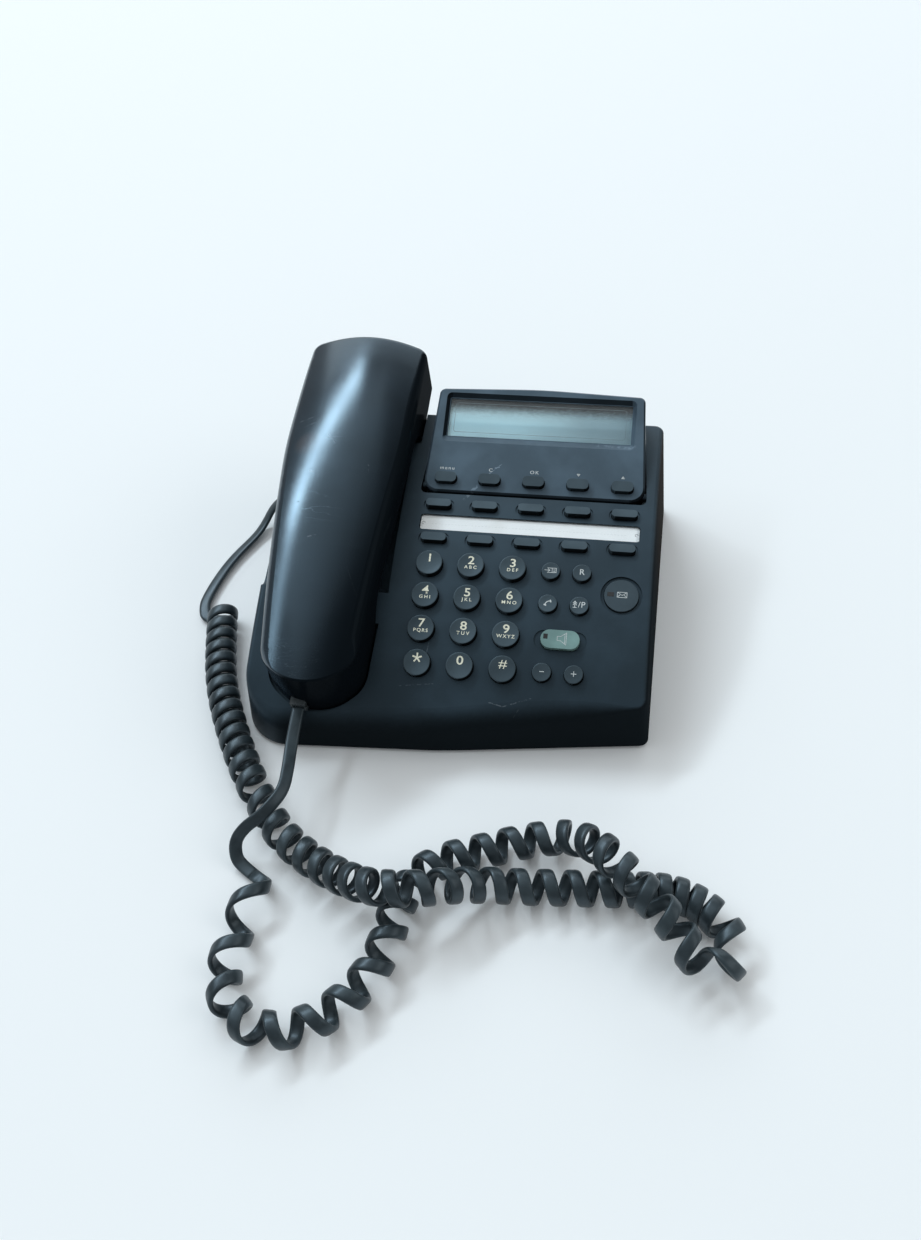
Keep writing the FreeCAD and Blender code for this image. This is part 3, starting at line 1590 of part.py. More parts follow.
def make_cord():
    winding = Winding(smooth_line(COIL_AXIS), number(size.curl_radius), number(size.curl_turns))
    curves, (first, entry), (last, leaving) = coil_curves(winding)
    path = cord_tube("cord_coil", curves)
    tightest = min(curve.toShape().Curve.Radius for curve in curves[1:-1])
    apart = 4 * number(size.wire)
    print("tightest curl %.2f, least gap %.2f" % (tightest, least_gap(path, apart)))
    run_in = 2 * number(size.wire)
    corners = [plug_face_in_base()] + [Vector(*point) for point in BASE_LEADER]
    make_leader("cord_base_leader", corners + [first - entry * run_in, first])
    face = plug_face_on_handset()
    along, _ = handset_ways()
    corners = [last, last + leaving * run_in] + [Vector(*point) for point in HANDSET_LEADER]
    make_leader("cord_handset_leader", corners + [face - along * run_in, face])


make_casings()
make_base_contents()
make_handset()
make_display()
make_sockets()
make_cord()

doc.recompute()
for thing in doc.Objects:
    if "Invalid" in thing.State or "Error" in thing.State:
        raise RuntimeError("not built: " + thing.Label)
os.makedirs("parts", exist_ok=True)
for thing in pieces:
    shape = thing.Shape
    if shape.isNull() or not shape.isValid() or not shape.Solids:
        raise RuntimeError("not a valid solid: " + thing.Label)
    shape.exportStep(os.path.join("parts", thing.Label + ".step"))
    box = shape.BoundBox
    print("%-22s solids %2d volume %9.1f  x %7.2f %7.2f  y %7.2f %7.2f  z %6.2f %6.2f" % (
        thing.Label, len(shape.Solids), shape.Volume, box.XMin, box.XMax, box.YMin, box.YMax,
        box.ZMin, box.ZMax))
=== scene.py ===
# %% [markdown]
# A desk telephone in dark plastic: a base with push buttons, a display that tilts up from a
# pocket, and a handset that lies in a cradle and hangs on a curly cord. The hard pieces come
# ready made from the CAD model. Here they get their finishes, their printed legends and small
# lamps, and the cord is wound again as a flat cord, as the real one is.

# %% Load the frame
import json
import math

import bmesh
import bpy
from mathutils import Matrix, Vector


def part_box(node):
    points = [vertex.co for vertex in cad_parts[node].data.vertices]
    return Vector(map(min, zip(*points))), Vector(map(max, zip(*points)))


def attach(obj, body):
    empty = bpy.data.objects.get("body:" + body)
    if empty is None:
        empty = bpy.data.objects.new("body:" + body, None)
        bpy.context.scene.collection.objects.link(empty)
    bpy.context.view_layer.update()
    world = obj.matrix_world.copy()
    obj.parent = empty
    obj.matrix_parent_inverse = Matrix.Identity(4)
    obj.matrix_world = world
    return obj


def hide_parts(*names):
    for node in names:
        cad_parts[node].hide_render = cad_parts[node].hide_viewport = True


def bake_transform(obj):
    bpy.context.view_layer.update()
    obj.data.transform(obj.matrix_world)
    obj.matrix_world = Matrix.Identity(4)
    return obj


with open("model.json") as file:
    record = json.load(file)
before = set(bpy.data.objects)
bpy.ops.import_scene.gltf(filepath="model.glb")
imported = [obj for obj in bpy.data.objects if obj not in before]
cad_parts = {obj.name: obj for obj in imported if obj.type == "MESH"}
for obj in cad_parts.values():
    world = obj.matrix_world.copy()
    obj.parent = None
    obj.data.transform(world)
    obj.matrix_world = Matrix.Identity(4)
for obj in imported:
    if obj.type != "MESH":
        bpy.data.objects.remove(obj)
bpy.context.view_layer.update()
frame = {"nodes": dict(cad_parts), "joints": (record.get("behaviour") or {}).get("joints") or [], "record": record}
nodes = frame["nodes"]

# %% [markdown]
# The camera stands where the photographer stood: over the telephone's front, a little to its
# right, looking down by about fifty degrees. A camera could be aimed with a Track To constraint,
# but its own axes are written out here, because the picture is slightly rolled as well.

# %% Camera
MM = 0.001
camera_data = bpy.data.cameras.new("camera")
camera_data.sensor_width = 36.0
camera_data.lens = 34.085
camera = bpy.data.objects.new("camera", camera_data)
bpy.context.scene.collection.objects.link(camera)
right = Vector((0.9891, 0.1372, -0.0537))
down = Vector((0.0723, -0.7693, -0.6348))
ahead = Vector((-0.1284, 0.6240, -0.7708))
stand = Vector((74.09, -381.56, 456.95)) * MM
camera.matrix_world = Matrix.Translation(stand) @ Matrix(
    (right, -down, -ahead)).transposed().to_4x4()
bpy.context.scene.camera = camera
print("camera at", camera.matrix_world.translation[:])

# %% [markdown]
# Every finish below is a small sum of noises and masks. Wiring each Math node by hand hides
# what the sum says, so one class stands for a socket and takes part in ordinary arithmetic:
# each sign adds its node. A second class holds a material and makes all other nodes.


# %% Sockets that can be added and multiplied
class Value:
    """One socket of a material, which can be used in sums."""

    def __init__(self, finish, socket):
        self.finish = finish
        self.socket = socket

    def maths(self, operation, *values):
        return self.finish.node("ShaderNodeMath", {"operation": operation}, values)

    def __add__(self, other):
        return self.maths("ADD", self, other)

    def __radd__(self, other):
        return self.maths("ADD", other, self)

    def __sub__(self, other):
        return self.maths("SUBTRACT", self, other)

    def __rsub__(self, other):
        return self.maths("SUBTRACT", other, self)

    def __mul__(self, other):
        return self.maths("MULTIPLY", self, other)

    def __rmul__(self, other):
        return self.maths("MULTIPLY", other, self)

    def __truediv__(self, other):
        return self.maths("DIVIDE", self, other)

    def __rtruediv__(self, other):
        return self.maths("DIVIDE", other, self)

    def __abs__(self):
        return self.maths("ABSOLUTE", self)

    def between(self, low, high):
        """0 below low and 1 above high, with a soft step between them."""
        settings = {"interpolation_type": "SMOOTHSTEP"}
        return self.finish.node("ShaderNodeMapRange", settings, {0: self, 1: low, 2: high})


# %% A material and its nodes
class Finish:
    """A material built round one Principled shader."""

    def __init__(self, name, colour, roughness, **constants):
        self.material = bpy.data.materials.new(name)
        self.material.use_nodes = True
        self.tree = self.material.node_tree
        self.shader = self.tree.nodes["Principled BSDF"]
        self.feed("Base Color", (*colour, 1.0))
        self.feed("Roughness", roughness)
        for socket, value in constants.items():
            self.feed(socket.replace("_", " "), value)
        self.place = self.node("ShaderNodeTexCoord", output="Object")

    def node(self, kind, settings=None, inputs=(), output=0):
        """Adds a node, sets it up, feeds its sockets and returns one of its outputs."""
        made = self.tree.nodes.new(kind)
        for name, value in (settings or {}).items():
            if name == "stops":
                self.set_stops(made.color_ramp, value)
            else:
                setattr(made, name, value)
        pairs = inputs.items() if isinstance(inputs, dict) else enumerate(inputs)
        for name, value in pairs:
            self.join(value, made.inputs[name])
        return Value(self, made.outputs[output])

    def set_stops(self, ramp, stops):
        while len(ramp.elements) < len(stops):
            ramp.elements.new(1.0)
        for element, (position, colour) in zip(ramp.elements, stops):
            element.position = position
            element.color = (*colour, 1.0)

    def join(self, value, socket):
        if isinstance(value, Value):
            self.tree.links.new(value.socket, socket)
        else:
            socket.default_value = value

    def feed(self, name, value):
        self.join(value, self.shader.inputs[name])

    def noise(self, scale, detail=2.0, stretch=(1.0, 1.0, 1.0), turn=0.0):
        """Noise with a scale in features per metre, longer along an axis with a small stretch."""
        spot = self.place
        if stretch != (1.0, 1.0, 1.0) or turn:
            spot = self.node("ShaderNodeMapping", {}, {
                "Vector": self.place, "Rotation": (0.0, 0.0, turn), "Scale": stretch})
        return self.node("ShaderNodeTexNoise", {}, {
            "Vector": spot, "Scale": scale, "Detail": detail})

    def spot(self, axis):
        """The place along X, Y or Z (0, 1 or 2), in millimetres."""
        return self.node("ShaderNodeSeparateXYZ", {}, {"Vector": self.place}, output=axis) / MM

    def tint(self, mask, first, second):
        """A colour between two, by a mask or over another colour."""
        def full(colour):
            return colour if isinstance(colour, Value) else (*colour, 1.0)
        return self.node("ShaderNodeMix", {"data_type": "RGBA"}, {
            0: mask, 6: full(first), 7: full(second)}, output=2)

    def bump(self, height, depth, strength=1.0):
        """Raises the surface where height is 1, by depth in metres."""
        normal = self.node("ShaderNodeBump", {}, {
            "Height": height, "Distance": depth, "Strength": strength})
        self.feed("Normal", normal)


# %% [markdown]
# In the photograph the walls that face away from the window are nearly black, although the
# pale table lies right beside them. Lamps alone didn't give that here, because the plastic went
# on mirroring the table. So a second shader without a mirror image is mixed in by the direction
# of the surface. It stands in for the photograph's light and isn't known of the real plastic:
# under other light these faces would look too dark.


# %% Painted shade on the sides turned away from the light
DIAGONAL = 0.7
PAINTED_SHADE_SHARE = 0.96


def painted_shade_sides(finish, colour, start=0.34, end=0.74):
    """Mixes in a duller shader as painted shade on faces turned to the right or to the front."""
    normal = finish.node("ShaderNodeNewGeometry", output="Normal")
    to_right = finish.node("ShaderNodeSeparateXYZ", {}, {"Vector": normal}, output=0)
    to_back = finish.node("ShaderNodeSeparateXYZ", {}, {"Vector": normal}, output=1)
    away = ((to_right - to_back) * DIAGONAL).between(start, end)
    painted_shade = finish.node("ShaderNodeBsdfPrincipled", {}, {
        "Base Color": (*colour, 1.0), "Roughness": 0.6, "Specular IOR Level": 0.0})
    shine = Value(finish, finish.shader.outputs["BSDF"])
    mixed = finish.node("ShaderNodeMixShader", {}, {0: away * PAINTED_SHADE_SHARE, 1: shine, 2: painted_shade})
    finish.join(mixed, finish.tree.nodes["Material Output"].inputs["Surface"])
    return painted_shade.socket.node


# %% [markdown]
# Scratches and dust turn up in most finishes, so they are made once. A scratch is a thin
# stretch of noise close to its middle value: cutting a narrow band out of a long, thin noise
# leaves broken hairlines. Dust is a few of the brightest specks of a fine noise.


# %% Scratches, dust and grain
LONG_AND_THIN = (0.06, 1.0, 1.0)
PATCH_SIZE = 0.08
PATCH_EDGE = 0.08
SPECK_EDGE = 0.03


def hairlines(finish, scale, turn, width, share):
    """Broken fine lines in one direction, over part of the surface."""
    long_noise = finish.noise(scale, 3.0, LONG_AND_THIN, turn)
    line = 1.0 - abs(long_noise - 0.5).between(0.0, width)
    patch = finish.noise(scale * PATCH_SIZE, 2.0).between(1.0 - share, 1.0 - share + PATCH_EDGE)
    return line * patch


def specks(finish, scale, share):
    """The brightest specks of a fine noise."""
    return finish.noise(scale, 1.0).between(1.0 - share, 1.0 - share + SPECK_EDGE)


def scratch(finish, start, end, width):
    """One straight scratch between two places, X and Y in millimetres, seen from above."""
    x, y = finish.spot(0) - start[0], finish.spot(1) - start[1]
    run = math.dist(start, end)
    way_x, way_y = (end[0] - start[0]) / run, (end[1] - start[1]) / run
    along = x * way_x + y * way_y
    line = 1.0 - abs(x * way_y - y * way_x).between(width / 2, width)
    return line * along.between(-width, width) * (1.0 - along.between(run - width, run + width))


COLD_SHINE = (0.58, 0.82, 1.0, 1.0)
DUST_SCALE = 1500.0
DUST_SHARE = 0.27
GRAIN_DEPTH = 0.00004


def worn_plastic(name, colour, roughness, grain, gloss_change, wear, scratch_scale=260.0,
                 nicks=(), **more):
    """Moulded plastic with a fine grain, uneven gloss, hairline scratches and a little dust."""
    finish = Finish(name, colour, roughness, Specular_Tint=COLD_SHINE, **more)
    cloud = finish.noise(45.0, 4.0)
    marks = hairlines(finish, scratch_scale, 0.5, 0.004, 0.42)
    marks = marks + hairlines(finish, scratch_scale * 1.3, -0.9, 0.003, 0.40)
    dust = specks(finish, DUST_SCALE, DUST_SHARE)
    worn = marks * wear + dust * (0.6 * wear)
    for start, end, width, strength in nicks:
        broken = finish.noise(700.0, 3.0).between(0.38, 0.60)
        worn = worn + scratch(finish, start, end, width) * broken * strength
    pale = tuple(part * 2.0 + 0.060 for part in colour)
    shade = tuple(part * 0.75 for part in colour)
    blotch = finish.tint(cloud.between(0.35, 0.7), shade, tuple(part * 1.25 for part in colour))
    finish.blend = finish.tint(worn.between(0.0, 1.0), blotch, pale)
    finish.feed("Base Color", finish.blend)
    finish.feed("Roughness", cloud * gloss_change + (roughness - gloss_change / 2) + marks * 0.15)
    grains = finish.noise(grain, 2.0)
    finish.bump(grains - marks * 0.4, GRAIN_DEPTH, 0.35)
    return finish


# %% [markdown]
# The base, the display and the keys are the same near-black blue, but each was moulded with
# its own texture. The casing has a matt grain, the handset is nearly smooth, and the keys are
# in between.

# %% Plastics of the casing, the display, the handset and the keys
casing = worn_plastic("casing_plastic", (0.0138, 0.0234, 0.0322), 0.46, 2600.0, 0.10, 0.30, nicks=(
    ((21.0, -79.6), (28.0, -80.9), 0.30, 0.9), ((28.0, -80.9), (40.5, -76.9), 0.30, 1.0),
    ((33.0, -84.0), (35.5, -81.0), 0.20, 0.7), ((-8.2, -57.0), (-8.8, -61.5), 0.22, 0.9),
    ((-20.0, -76.0), (-4.0, -74.0), 0.25, 0.5), ((-0.8, 14.8), (1.6, 18.2), 0.9, 1.0)))
# The casing's painted shade colour for walls turned away from the light: dark blue-black, turning brownish towards
# the back of the right wall.
right_wall_back_patch = casing.spot(1).between(-30.0, 60.0) * casing.spot(0).between(60.0, 90.0)
painted_shade_wall_colour = casing.tint(right_wall_back_patch, (0.0090, 0.0125, 0.0150), (0.032, 0.027, 0.024))
casing.join(painted_shade_wall_colour, painted_shade_sides(casing, (0.0090, 0.0125, 0.0150)).inputs["Base Color"])
display_plastic = worn_plastic(
    "display_plastic", (0.0540, 0.0800, 0.1060), 0.42, 2600.0, 0.10, 0.34, nicks=(
        ((9.6, 28.4), (15.6, 33.8), 0.35, 1.0), ((12.2, 31.6), (14.8, 32.0), 0.30, 0.9),
        ((2.0, 19.4), (5.0, 22.6), 1.0, 0.8), ((60.0, 46.6), (79.0, 45.4), 1.3, 0.5)),
    Specular_IOR_Level=0.7)
# Painted shade on the display's faces turned to the right or to the front.
painted_shade_sides(display_plastic, (0.0060, 0.0080, 0.0100), 0.45, 0.75)
handset_plastic = worn_plastic(
    "handset_plastic", (0.0040, 0.0075, 0.0130), 0.21, 1500.0, 0.10, 0.45, 180.0, nicks=(
        ((-70.8, 3.5), (-68.4, 2.7), 0.40, 1.6), ((-43.0, 4.8), (-43.6, 9.0), 0.32, 1.2),
        ((-65.2, -31.0), (-61.6, -30.0), 0.40, 1.2), ((-45.1, -43.3), (-38.9, -55.4), 0.20, 0.7),
        ((-82.0, 34.5), (-72.0, 36.6), 0.25, 0.9), ((-80.0, 30.0), (-73.0, 32.4), 0.25, 0.8),
        ((-67.0, 22.0), (-57.0, 23.0), 0.22, 0.9), ((-66.0, 25.0), (-61.0, 19.0), 0.20, 0.9)),
    Specular_IOR_Level=0.9)
# Painted shade on the handset's faces turned to the right or to the front.
painted_shade_sides(handset_plastic, (0.0040, 0.0060, 0.0080), 0.14, 0.46)
# A small reddish-brown spot on the handset, fading out between 2 and 8 mm from its middle.
brown_spot_dx, brown_spot_dy = handset_plastic.spot(0) + 74.5, handset_plastic.spot(1) - 20.0
outside_brown_spot = (brown_spot_dx * brown_spot_dx + brown_spot_dy * brown_spot_dy).between(4.0, 64.0)
handset_plastic.feed("Base Color", handset_plastic.tint(
    outside_brown_spot, (0.030, 0.020, 0.018), handset_plastic.blend))
key_plastic = worn_plastic("key_plastic", (0.0430, 0.0600, 0.0710), 0.36, 3600.0, 0.08, 0.16)
# Painted shade on the keys' faces turned to the right or to the front.
painted_shade_sides(key_plastic, (0.0030, 0.0040, 0.0050), 0.45, 0.75)
message_plastic = worn_plastic(
    "message_plastic", (0.0330, 0.0450, 0.0530), 0.36, 2600.0, 0.08, 0.30)
green_plastic = worn_plastic(
    "loudspeaker_key_plastic", (0.190, 0.310, 0.290), 0.45, 3600.0, 0.08, 0.12)
plastics = (casing, display_plastic, handset_plastic, key_plastic, message_plastic, green_plastic)
print("plastics:", [item.material.name for item in plastics])


# %% [markdown]
# The glass of the display is a thin clear sheet. Real refraction would cost much render time and
# show nothing here, so the sheet is mostly see-through by its alpha. The liquid crystal under it
# is a flat blue grey, a little cloudy, with a painted reflection that makes it brighter towards the
# left, and a painted shadow of the bezel as a dark band along its top edge.

# %% Clear windows and the liquid crystal
window_glass = Finish("clear_window", (0.80, 0.86, 0.88), 0.12, Specular_IOR_Level=0.5)
window_glass.feed("Alpha", window_glass.noise(60.0, 3.0) * 0.06 + 0.03)
window_glass.bump(hairlines(window_glass, 300.0, 0.2, 0.004, 0.5), 0.00002)

window_low, window_high = (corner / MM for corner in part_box("display_window"))
reach = window_high.y - window_low.y
lcd = Finish("lcd_glass", (0.24, 0.36, 0.40), 0.34, Specular_IOR_Level=0.6)
# Painted reflection: the crystal is made brighter towards the left.
painted_reflection_to_left = 1.0 - lcd.spot(0).between(window_low.x, window_high.x + 30.0)
clouds_and_painted_reflection = lcd.noise(32.0, 3.0) * 0.5 + painted_reflection_to_left * 0.75
crystal_colour_with_painted_reflection = lcd.tint(clouds_and_painted_reflection.between(0.2, 0.95), (0.200, 0.345, 0.410), (0.62, 0.92, 1.0))
grain = lcd.noise(900.0, 4.0) * (0.18 * reach)
# Painted shadow of the bezel: a dark band with a ragged edge along the crystal's top.
bezel_shadow_start, bezel_shadow_end = window_high.y - 0.32 * reach, window_high.y + 0.02 * reach
painted_bezel_shadow = (lcd.spot(1) + grain).between(bezel_shadow_start, bezel_shadow_end)
lcd.feed("Base Color", lcd.tint(painted_bezel_shadow, crystal_colour_with_painted_reflection, (0.006, 0.010, 0.014)))
print("window between", window_low[:], window_high[:])

# %% [markdown]
# The strip for names is a paper card under a clear cover. Paper is never one white: faint
# fibres and a thumbed, slightly yellow patch keep it from looking like a light.

# %% Card, rubber, metal and the pieces inside
card = Finish("card", (0.85, 0.88, 0.89), 0.75)
fibres = card.noise(1800.0, 3.0, (0.3, 1.0, 1.0))
thumbed = card.noise(38.0, 3.0).between(0.50, 0.72)
paper = card.tint(thumbed * 0.35 + fibres * 0.12, (0.95, 0.98, 0.99), (0.74, 0.74, 0.70))
card.feed("Base Color", paper)
card.bump(fibres, 0.00002)


def plain_finish(name, colour, roughness, scale, depth, **more):
    """A finish whose colour and height vary a little with one noise."""
    finish = Finish(name, colour, roughness, **more)
    grain = finish.noise(scale, 3.0)
    dark = tuple(part * 0.8 for part in colour)
    light = tuple(min(part * 1.2, 1.0) for part in colour)
    finish.feed("Base Color", finish.tint(grain.between(0.3, 0.7), dark, light))
    finish.bump(grain, depth)
    return finish


mat_rubber = plain_finish("mat_rubber", (0.05, 0.05, 0.055), 0.8, 1500.0, 0.00003)
foot_rubber = plain_finish("foot_rubber", (0.02, 0.02, 0.02), 0.85, 2500.0, 0.00004)
board = plain_finish("board_laminate", (0.025, 0.11, 0.045), 0.45, 1200.0, 0.00002)
speaker = plain_finish("speaker_steel", (0.06, 0.06, 0.065), 0.45, 900.0, 0.00002, Metallic=0.6)
steel = plain_finish("screw_steel", (0.45, 0.45, 0.46), 0.35, 1800.0, 0.00001, Metallic=1.0)
socket_black = plain_finish("socket_plastic", (0.02, 0.02, 0.022), 0.35, 2200.0, 0.00002)
plug_clear = plain_finish("plug_plastic", (0.055, 0.065, 0.070), 0.25, 900.0, 0.00002)
lamp_dark = plain_finish("lamp_window", (0.010, 0.011, 0.013), 0.15, 700.0, 0.00001)
cream = plain_finish("cream_print", (0.80, 0.79, 0.64), 0.55, 2500.0, 0.00001)
# Pale grey-blue for the painted highlight along the edge of the display glass.
painted_glass_highlight = plain_finish("painted_glass_highlight", (0.16, 0.22, 0.25), 0.40, 900.0, 0.00001)
pale_print = plain_finish("pale_print", (0.58, 0.62, 0.62), 0.55, 2500.0, 0.00001)

# %% [markdown]
# The record names a material slot for every piece of the CAD model, so the finishes are handed
# out by slot, and no list of pieces is needed.

# %% Give each CAD piece its finish
finish_of = {
    "casing_plastic": casing, "display_plastic": display_plastic,
    "handset_plastic": handset_plastic, "key_plastic": key_plastic,
    "message_plastic": message_plastic, "loudspeaker_key_plastic": green_plastic,
    "clear_window": window_glass, "lcd_glass": lcd, "card": card, "mat_rubber": mat_rubber,
    "foot_rubber": foot_rubber, "board_laminate": board, "speaker_steel": speaker,
    "screw_steel": steel, "socket_plastic": socket_black, "plug_plastic": plug_clear,
}
for part in frame["record"]["subparts"]:
    if part["material_slot"] in finish_of:
        shape = nodes[part["node"]].data
        shape.materials.clear()
        shape.materials.append(finish_of[part["material_slot"]].material)
print("finishes given out:", len(finish_of))


# %% [markdown]
# The curly cord is a flat cord, about twice as wide as it is thick, wound with its broad face
# outwards. It could be a bevelled curve, but a bevel can't keep a flat face turned away from
# the winding's middle. So the line that the curls follow is read from a smooth spline, the
# helix is worked out round it, and a flat section is swept along the helix as a mesh.


# %% A smooth line through a cord's route
def smooth_line(name, points):
    """Points along the smooth spline that a route's points control, in metres."""
    curve = bpy.data.curves.new(name, "CURVE")
    curve.dimensions = "3D"
    curve.resolution_u = 16
    spline = curve.splines.new("NURBS")
    spline.points.add(len(points) - 1)
    for point, place in zip(spline.points, points):
        point.co = (*(Vector(place) * MM), 1.0)
    spline.order_u = 3
    spline.use_endpoint_u = True
    carrier = bpy.data.objects.new(name, curve)
    line = bpy.data.meshes.new_from_object(carrier)
    found = [vertex.co.copy() for vertex in line.vertices]
    bpy.data.objects.remove(carrier)
    bpy.data.meshes.remove(line)
    return found


def even_steps(points, step):
    """Points of the same line, a step apart."""
    lengths = [0.0]
    for before, after in zip(points, points[1:]):
        lengths.append(lengths[-1] + (after - before).length)
    count = max(2, round(lengths[-1] / step))
    found, index = [], 0
    for number in range(count + 1):
        wanted = lengths[-1] * number / count
        while index < len(points) - 2 and lengths[index + 1] < wanted:
            index += 1
        run = lengths[index + 1] - lengths[index]
        share = (wanted - lengths[index]) / run
        found.append(points[index].lerp(points[index + 1], share))
    return found, lengths[-1]


def headings(points):
    """The direction of a line at each of its points."""
    found = []
    for index in range(len(points)):
        before = points[max(index - 1, 0)]
        after = points[min(index + 1, len(points) - 1)]
        found.append((after - before).normalized())
    return found


# %% A flat section swept along a line
CORD_WIDTH = 5.7 * MM
CORD_THICKNESS = 2.3 * MM
SECTION_POINTS = 14
FULLER_ACROSS = 0.55
FULLER_UP = 0.75


def flat_section():
    """Across and up, round a flat section whose edges are rounded."""
    section = []
    for index in range(SECTION_POINTS):
        angle = 2 * math.pi * index / SECTION_POINTS
        across, up = math.cos(angle), math.sin(angle)
        section.append((math.copysign(abs(across) ** FULLER_ACROSS, across) / 2,
                        math.copysign(abs(up) ** FULLER_UP, up) / 2))
    return section


def sweep(name, points, sides):
    """A closed flat tube along points, whose broad way at each point is given by sides."""
    section = flat_section()
    around = len(section)
    corners, faces = [], []
    for spot, heading, side in zip(points, headings(points), sides):
        side = (side - heading * side.dot(heading)).normalized()
        up = side.cross(heading)
        corners += [spot + side * (x * CORD_WIDTH) + up * (y * CORD_THICKNESS)
                    for x, y in section]
    for ring in range(len(points) - 1):
        for index in range(around):
            first = ring * around + index
            second = ring * around + (index + 1) % around
            faces.append((first, first + around, second + around, second))
    faces.append(tuple(range(around)))
    last = (len(points) - 1) * around
    faces.append(tuple(range(last + around - 1, last - 1, -1)))
    mesh = bpy.data.meshes.new(name)
    mesh.from_pydata(corners, [], faces)
    mesh.update()
    mesh.shade_smooth()
    piece = bpy.data.objects.new(name, mesh)
    bpy.context.scene.collection.objects.link(piece)
    return piece


# %% [markdown]
# The winding keeps its own rhythm. It is tight near the base, where the curls were never
# pulled, and open where the cord turns or has been stretched. The line, the distances and the
# length of one turn there are the same as in the CAD model, and only the radius is larger, by
# 0.2 mm. The number of turns is whole, so both ends come out under the winding, on the table.

# %% Route of the curls, from the base's leader to the handset's, in millimetres
COIL_AXIS = (
    (-121.1, -24.7, 8.6), (-118.5, -36.2, 8.6), (-115.3, -49.8, 8.6), (-111.3, -64.2, 8.6),
    (-104.9, -80.2, 8.6), (-95.7, -98.0, 8.6), (-85.6, -115.0, 8.6), (-75.3, -129.6, 8.6),
    (-64.8, -142.7, 8.6), (-53.7, -151.7, 8.6), (-41.1, -159.5, 10.5), (-28.0, -166.9, 16.0),
    (-17.3, -172.5, 23.0), (-7.5, -174.2, 26.2), (1.7, -173.2, 26.2), (10.4, -170.1, 23.5),
    (19.9, -164.8, 17.0), (30.8, -160.6, 11.0), (44.7, -158.7, 8.6), (60.4, -157.4, 8.6),
    (76.0, -156.2, 8.6), (89.5, -155.0, 8.6), (101.5, -154.0, 8.6), (112.0, -155.8, 8.6),
    (121.5, -161.0, 8.6), (128.3, -168.6, 8.8), (131.6, -177.6, 10.0), (127.6, -186.0, 12.5),
    (118.6, -188.0, 15.0), (112.0, -181.8, 17.5), (107.8, -175.6, 20.0), (102.8, -171.0, 22.5),
    (97.0, -166.6, 25.0), (91.2, -161.0, 26.2), (84.5, -154.7, 26.2), (78.1, -147.4, 24.8),
    (71.3, -140.7, 19.5), (63.2, -135.4, 12.5), (53.4, -135.0, 9.0), (41.7, -138.0, 8.6),
    (30.2, -142.6, 8.6), (18.7, -146.7, 8.6), (8.2, -151.2, 8.6), (-0.1, -158.6, 8.6),
    (-4.4, -168.3, 8.6), (-6.5, -178.4, 8.6), (-7.5, -189.0, 8.6), (-10.1, -199.5, 8.6),
    (-15.8, -210.2, 8.6), (-23.2, -219.1, 8.6), (-32.8, -226.6, 8.6), (-44.3, -230.3, 8.6),
    (-55.8, -229.3, 8.6), (-65.0, -222.4, 8.6), (-70.2, -212.4, 8.6), (-70.7, -199.7, 8.6),
    (-69.3, -187.3, 8.6), (-68.0, -175.9, 8.6), (-68.5, -164.1, 8.6),
)
PITCHES = (
    (0, 6.6), (75, 6.8), (100, 8.2), (122, 15.0), (136, 9.0), (195, 9.0), (215, 10.5), (295, 10.0),
    (312, 6.2), (338, 6.2), (350, 15.0), (382, 15.0), (395, 10.5), (540, 11.0), (560, 13.5),
    (650, 13.5), (672, 20.0), (698, 24.0),
)
CURL_TURNS = 62
CURL_RADIUS = 6.5 * MM


def pitch_at(distance):
    """Length of one turn, in proportion, at a distance in millimetres along the route."""
    for (before, low), (after, high) in zip(PITCHES, PITCHES[1:]):
        if distance <= after:
            return low + (high - low) * (distance - before) / (after - before)
    return PITCHES[-1][1]


# %% Wind the helix round the route
STEPS_PER_TURN = 36
AXIS_STEP = 0.25 * MM
axis, axis_length = even_steps(smooth_line("coil_line", COIL_AXIS), AXIS_STEP)
spacing = axis_length / (len(axis) - 1)
wound = [0.0]
for index in range(len(axis) - 1):
    wound.append(wound[-1] + spacing / (pitch_at((index + 0.5) * spacing / MM) * MM))
scale = CURL_TURNS / wound[-1]
coil_points, coil_sides = [], []
axis_headings = headings(axis)
index = 0
for step in range(CURL_TURNS * STEPS_PER_TURN + 1):
    wanted = step / STEPS_PER_TURN
    while index < len(axis) - 2 and wound[index + 1] * scale < wanted:
        index += 1
    share = (wanted / scale - wound[index]) / (wound[index + 1] - wound[index])
    middle = axis[index].lerp(axis[index + 1], share)
    along = axis_headings[index].lerp(axis_headings[index + 1], share).normalized()
    side = along.cross(Vector((0, 0, 1))).normalized()
    up = side.cross(along)
    angle = math.pi + 2 * math.pi * wanted
    outward = up * math.cos(angle) + side * math.sin(angle)
    coil_points.append(middle + outward * CURL_RADIUS)
    coil_sides.append(along)
print("winding of %d turns along %.0f mm" % (CURL_TURNS, axis_length / MM))

# %% [markdown]
# The sleeve is a soft dark plastic, a little lighter and greyer than the casing. One slow noise
# changes its colour and its gloss from place to place, and a fine one gives it a grain.

# %% Finish of the cord
sleeve = Finish("cord_sleeve", (0.006, 0.010, 0.013), 0.19, Specular_IOR_Level=0.55,
                Specular_Tint=(0.72, 0.88, 1.0, 1.0))
smear = sleeve.noise(120.0, 3.0)
sleeve.feed("Base Color", sleeve.tint(
    smear.between(0.35, 0.7), (0.016, 0.023, 0.027), (0.030, 0.042, 0.048)))
sleeve.feed("Roughness", smear * 0.2 + 0.27)
sleeve.bump(sleeve.noise(1600.0, 2.0), 0.00003, 0.4)


def finish_cord(piece, points):
    """Gives a swept cord its finish, and says how long it is."""
    piece.data.materials.append(sleeve.material)
    length = sum((after - before).length for before, after in zip(points, points[1:]))
    print("%s is %.0f mm long" % (piece.name, length / MM))


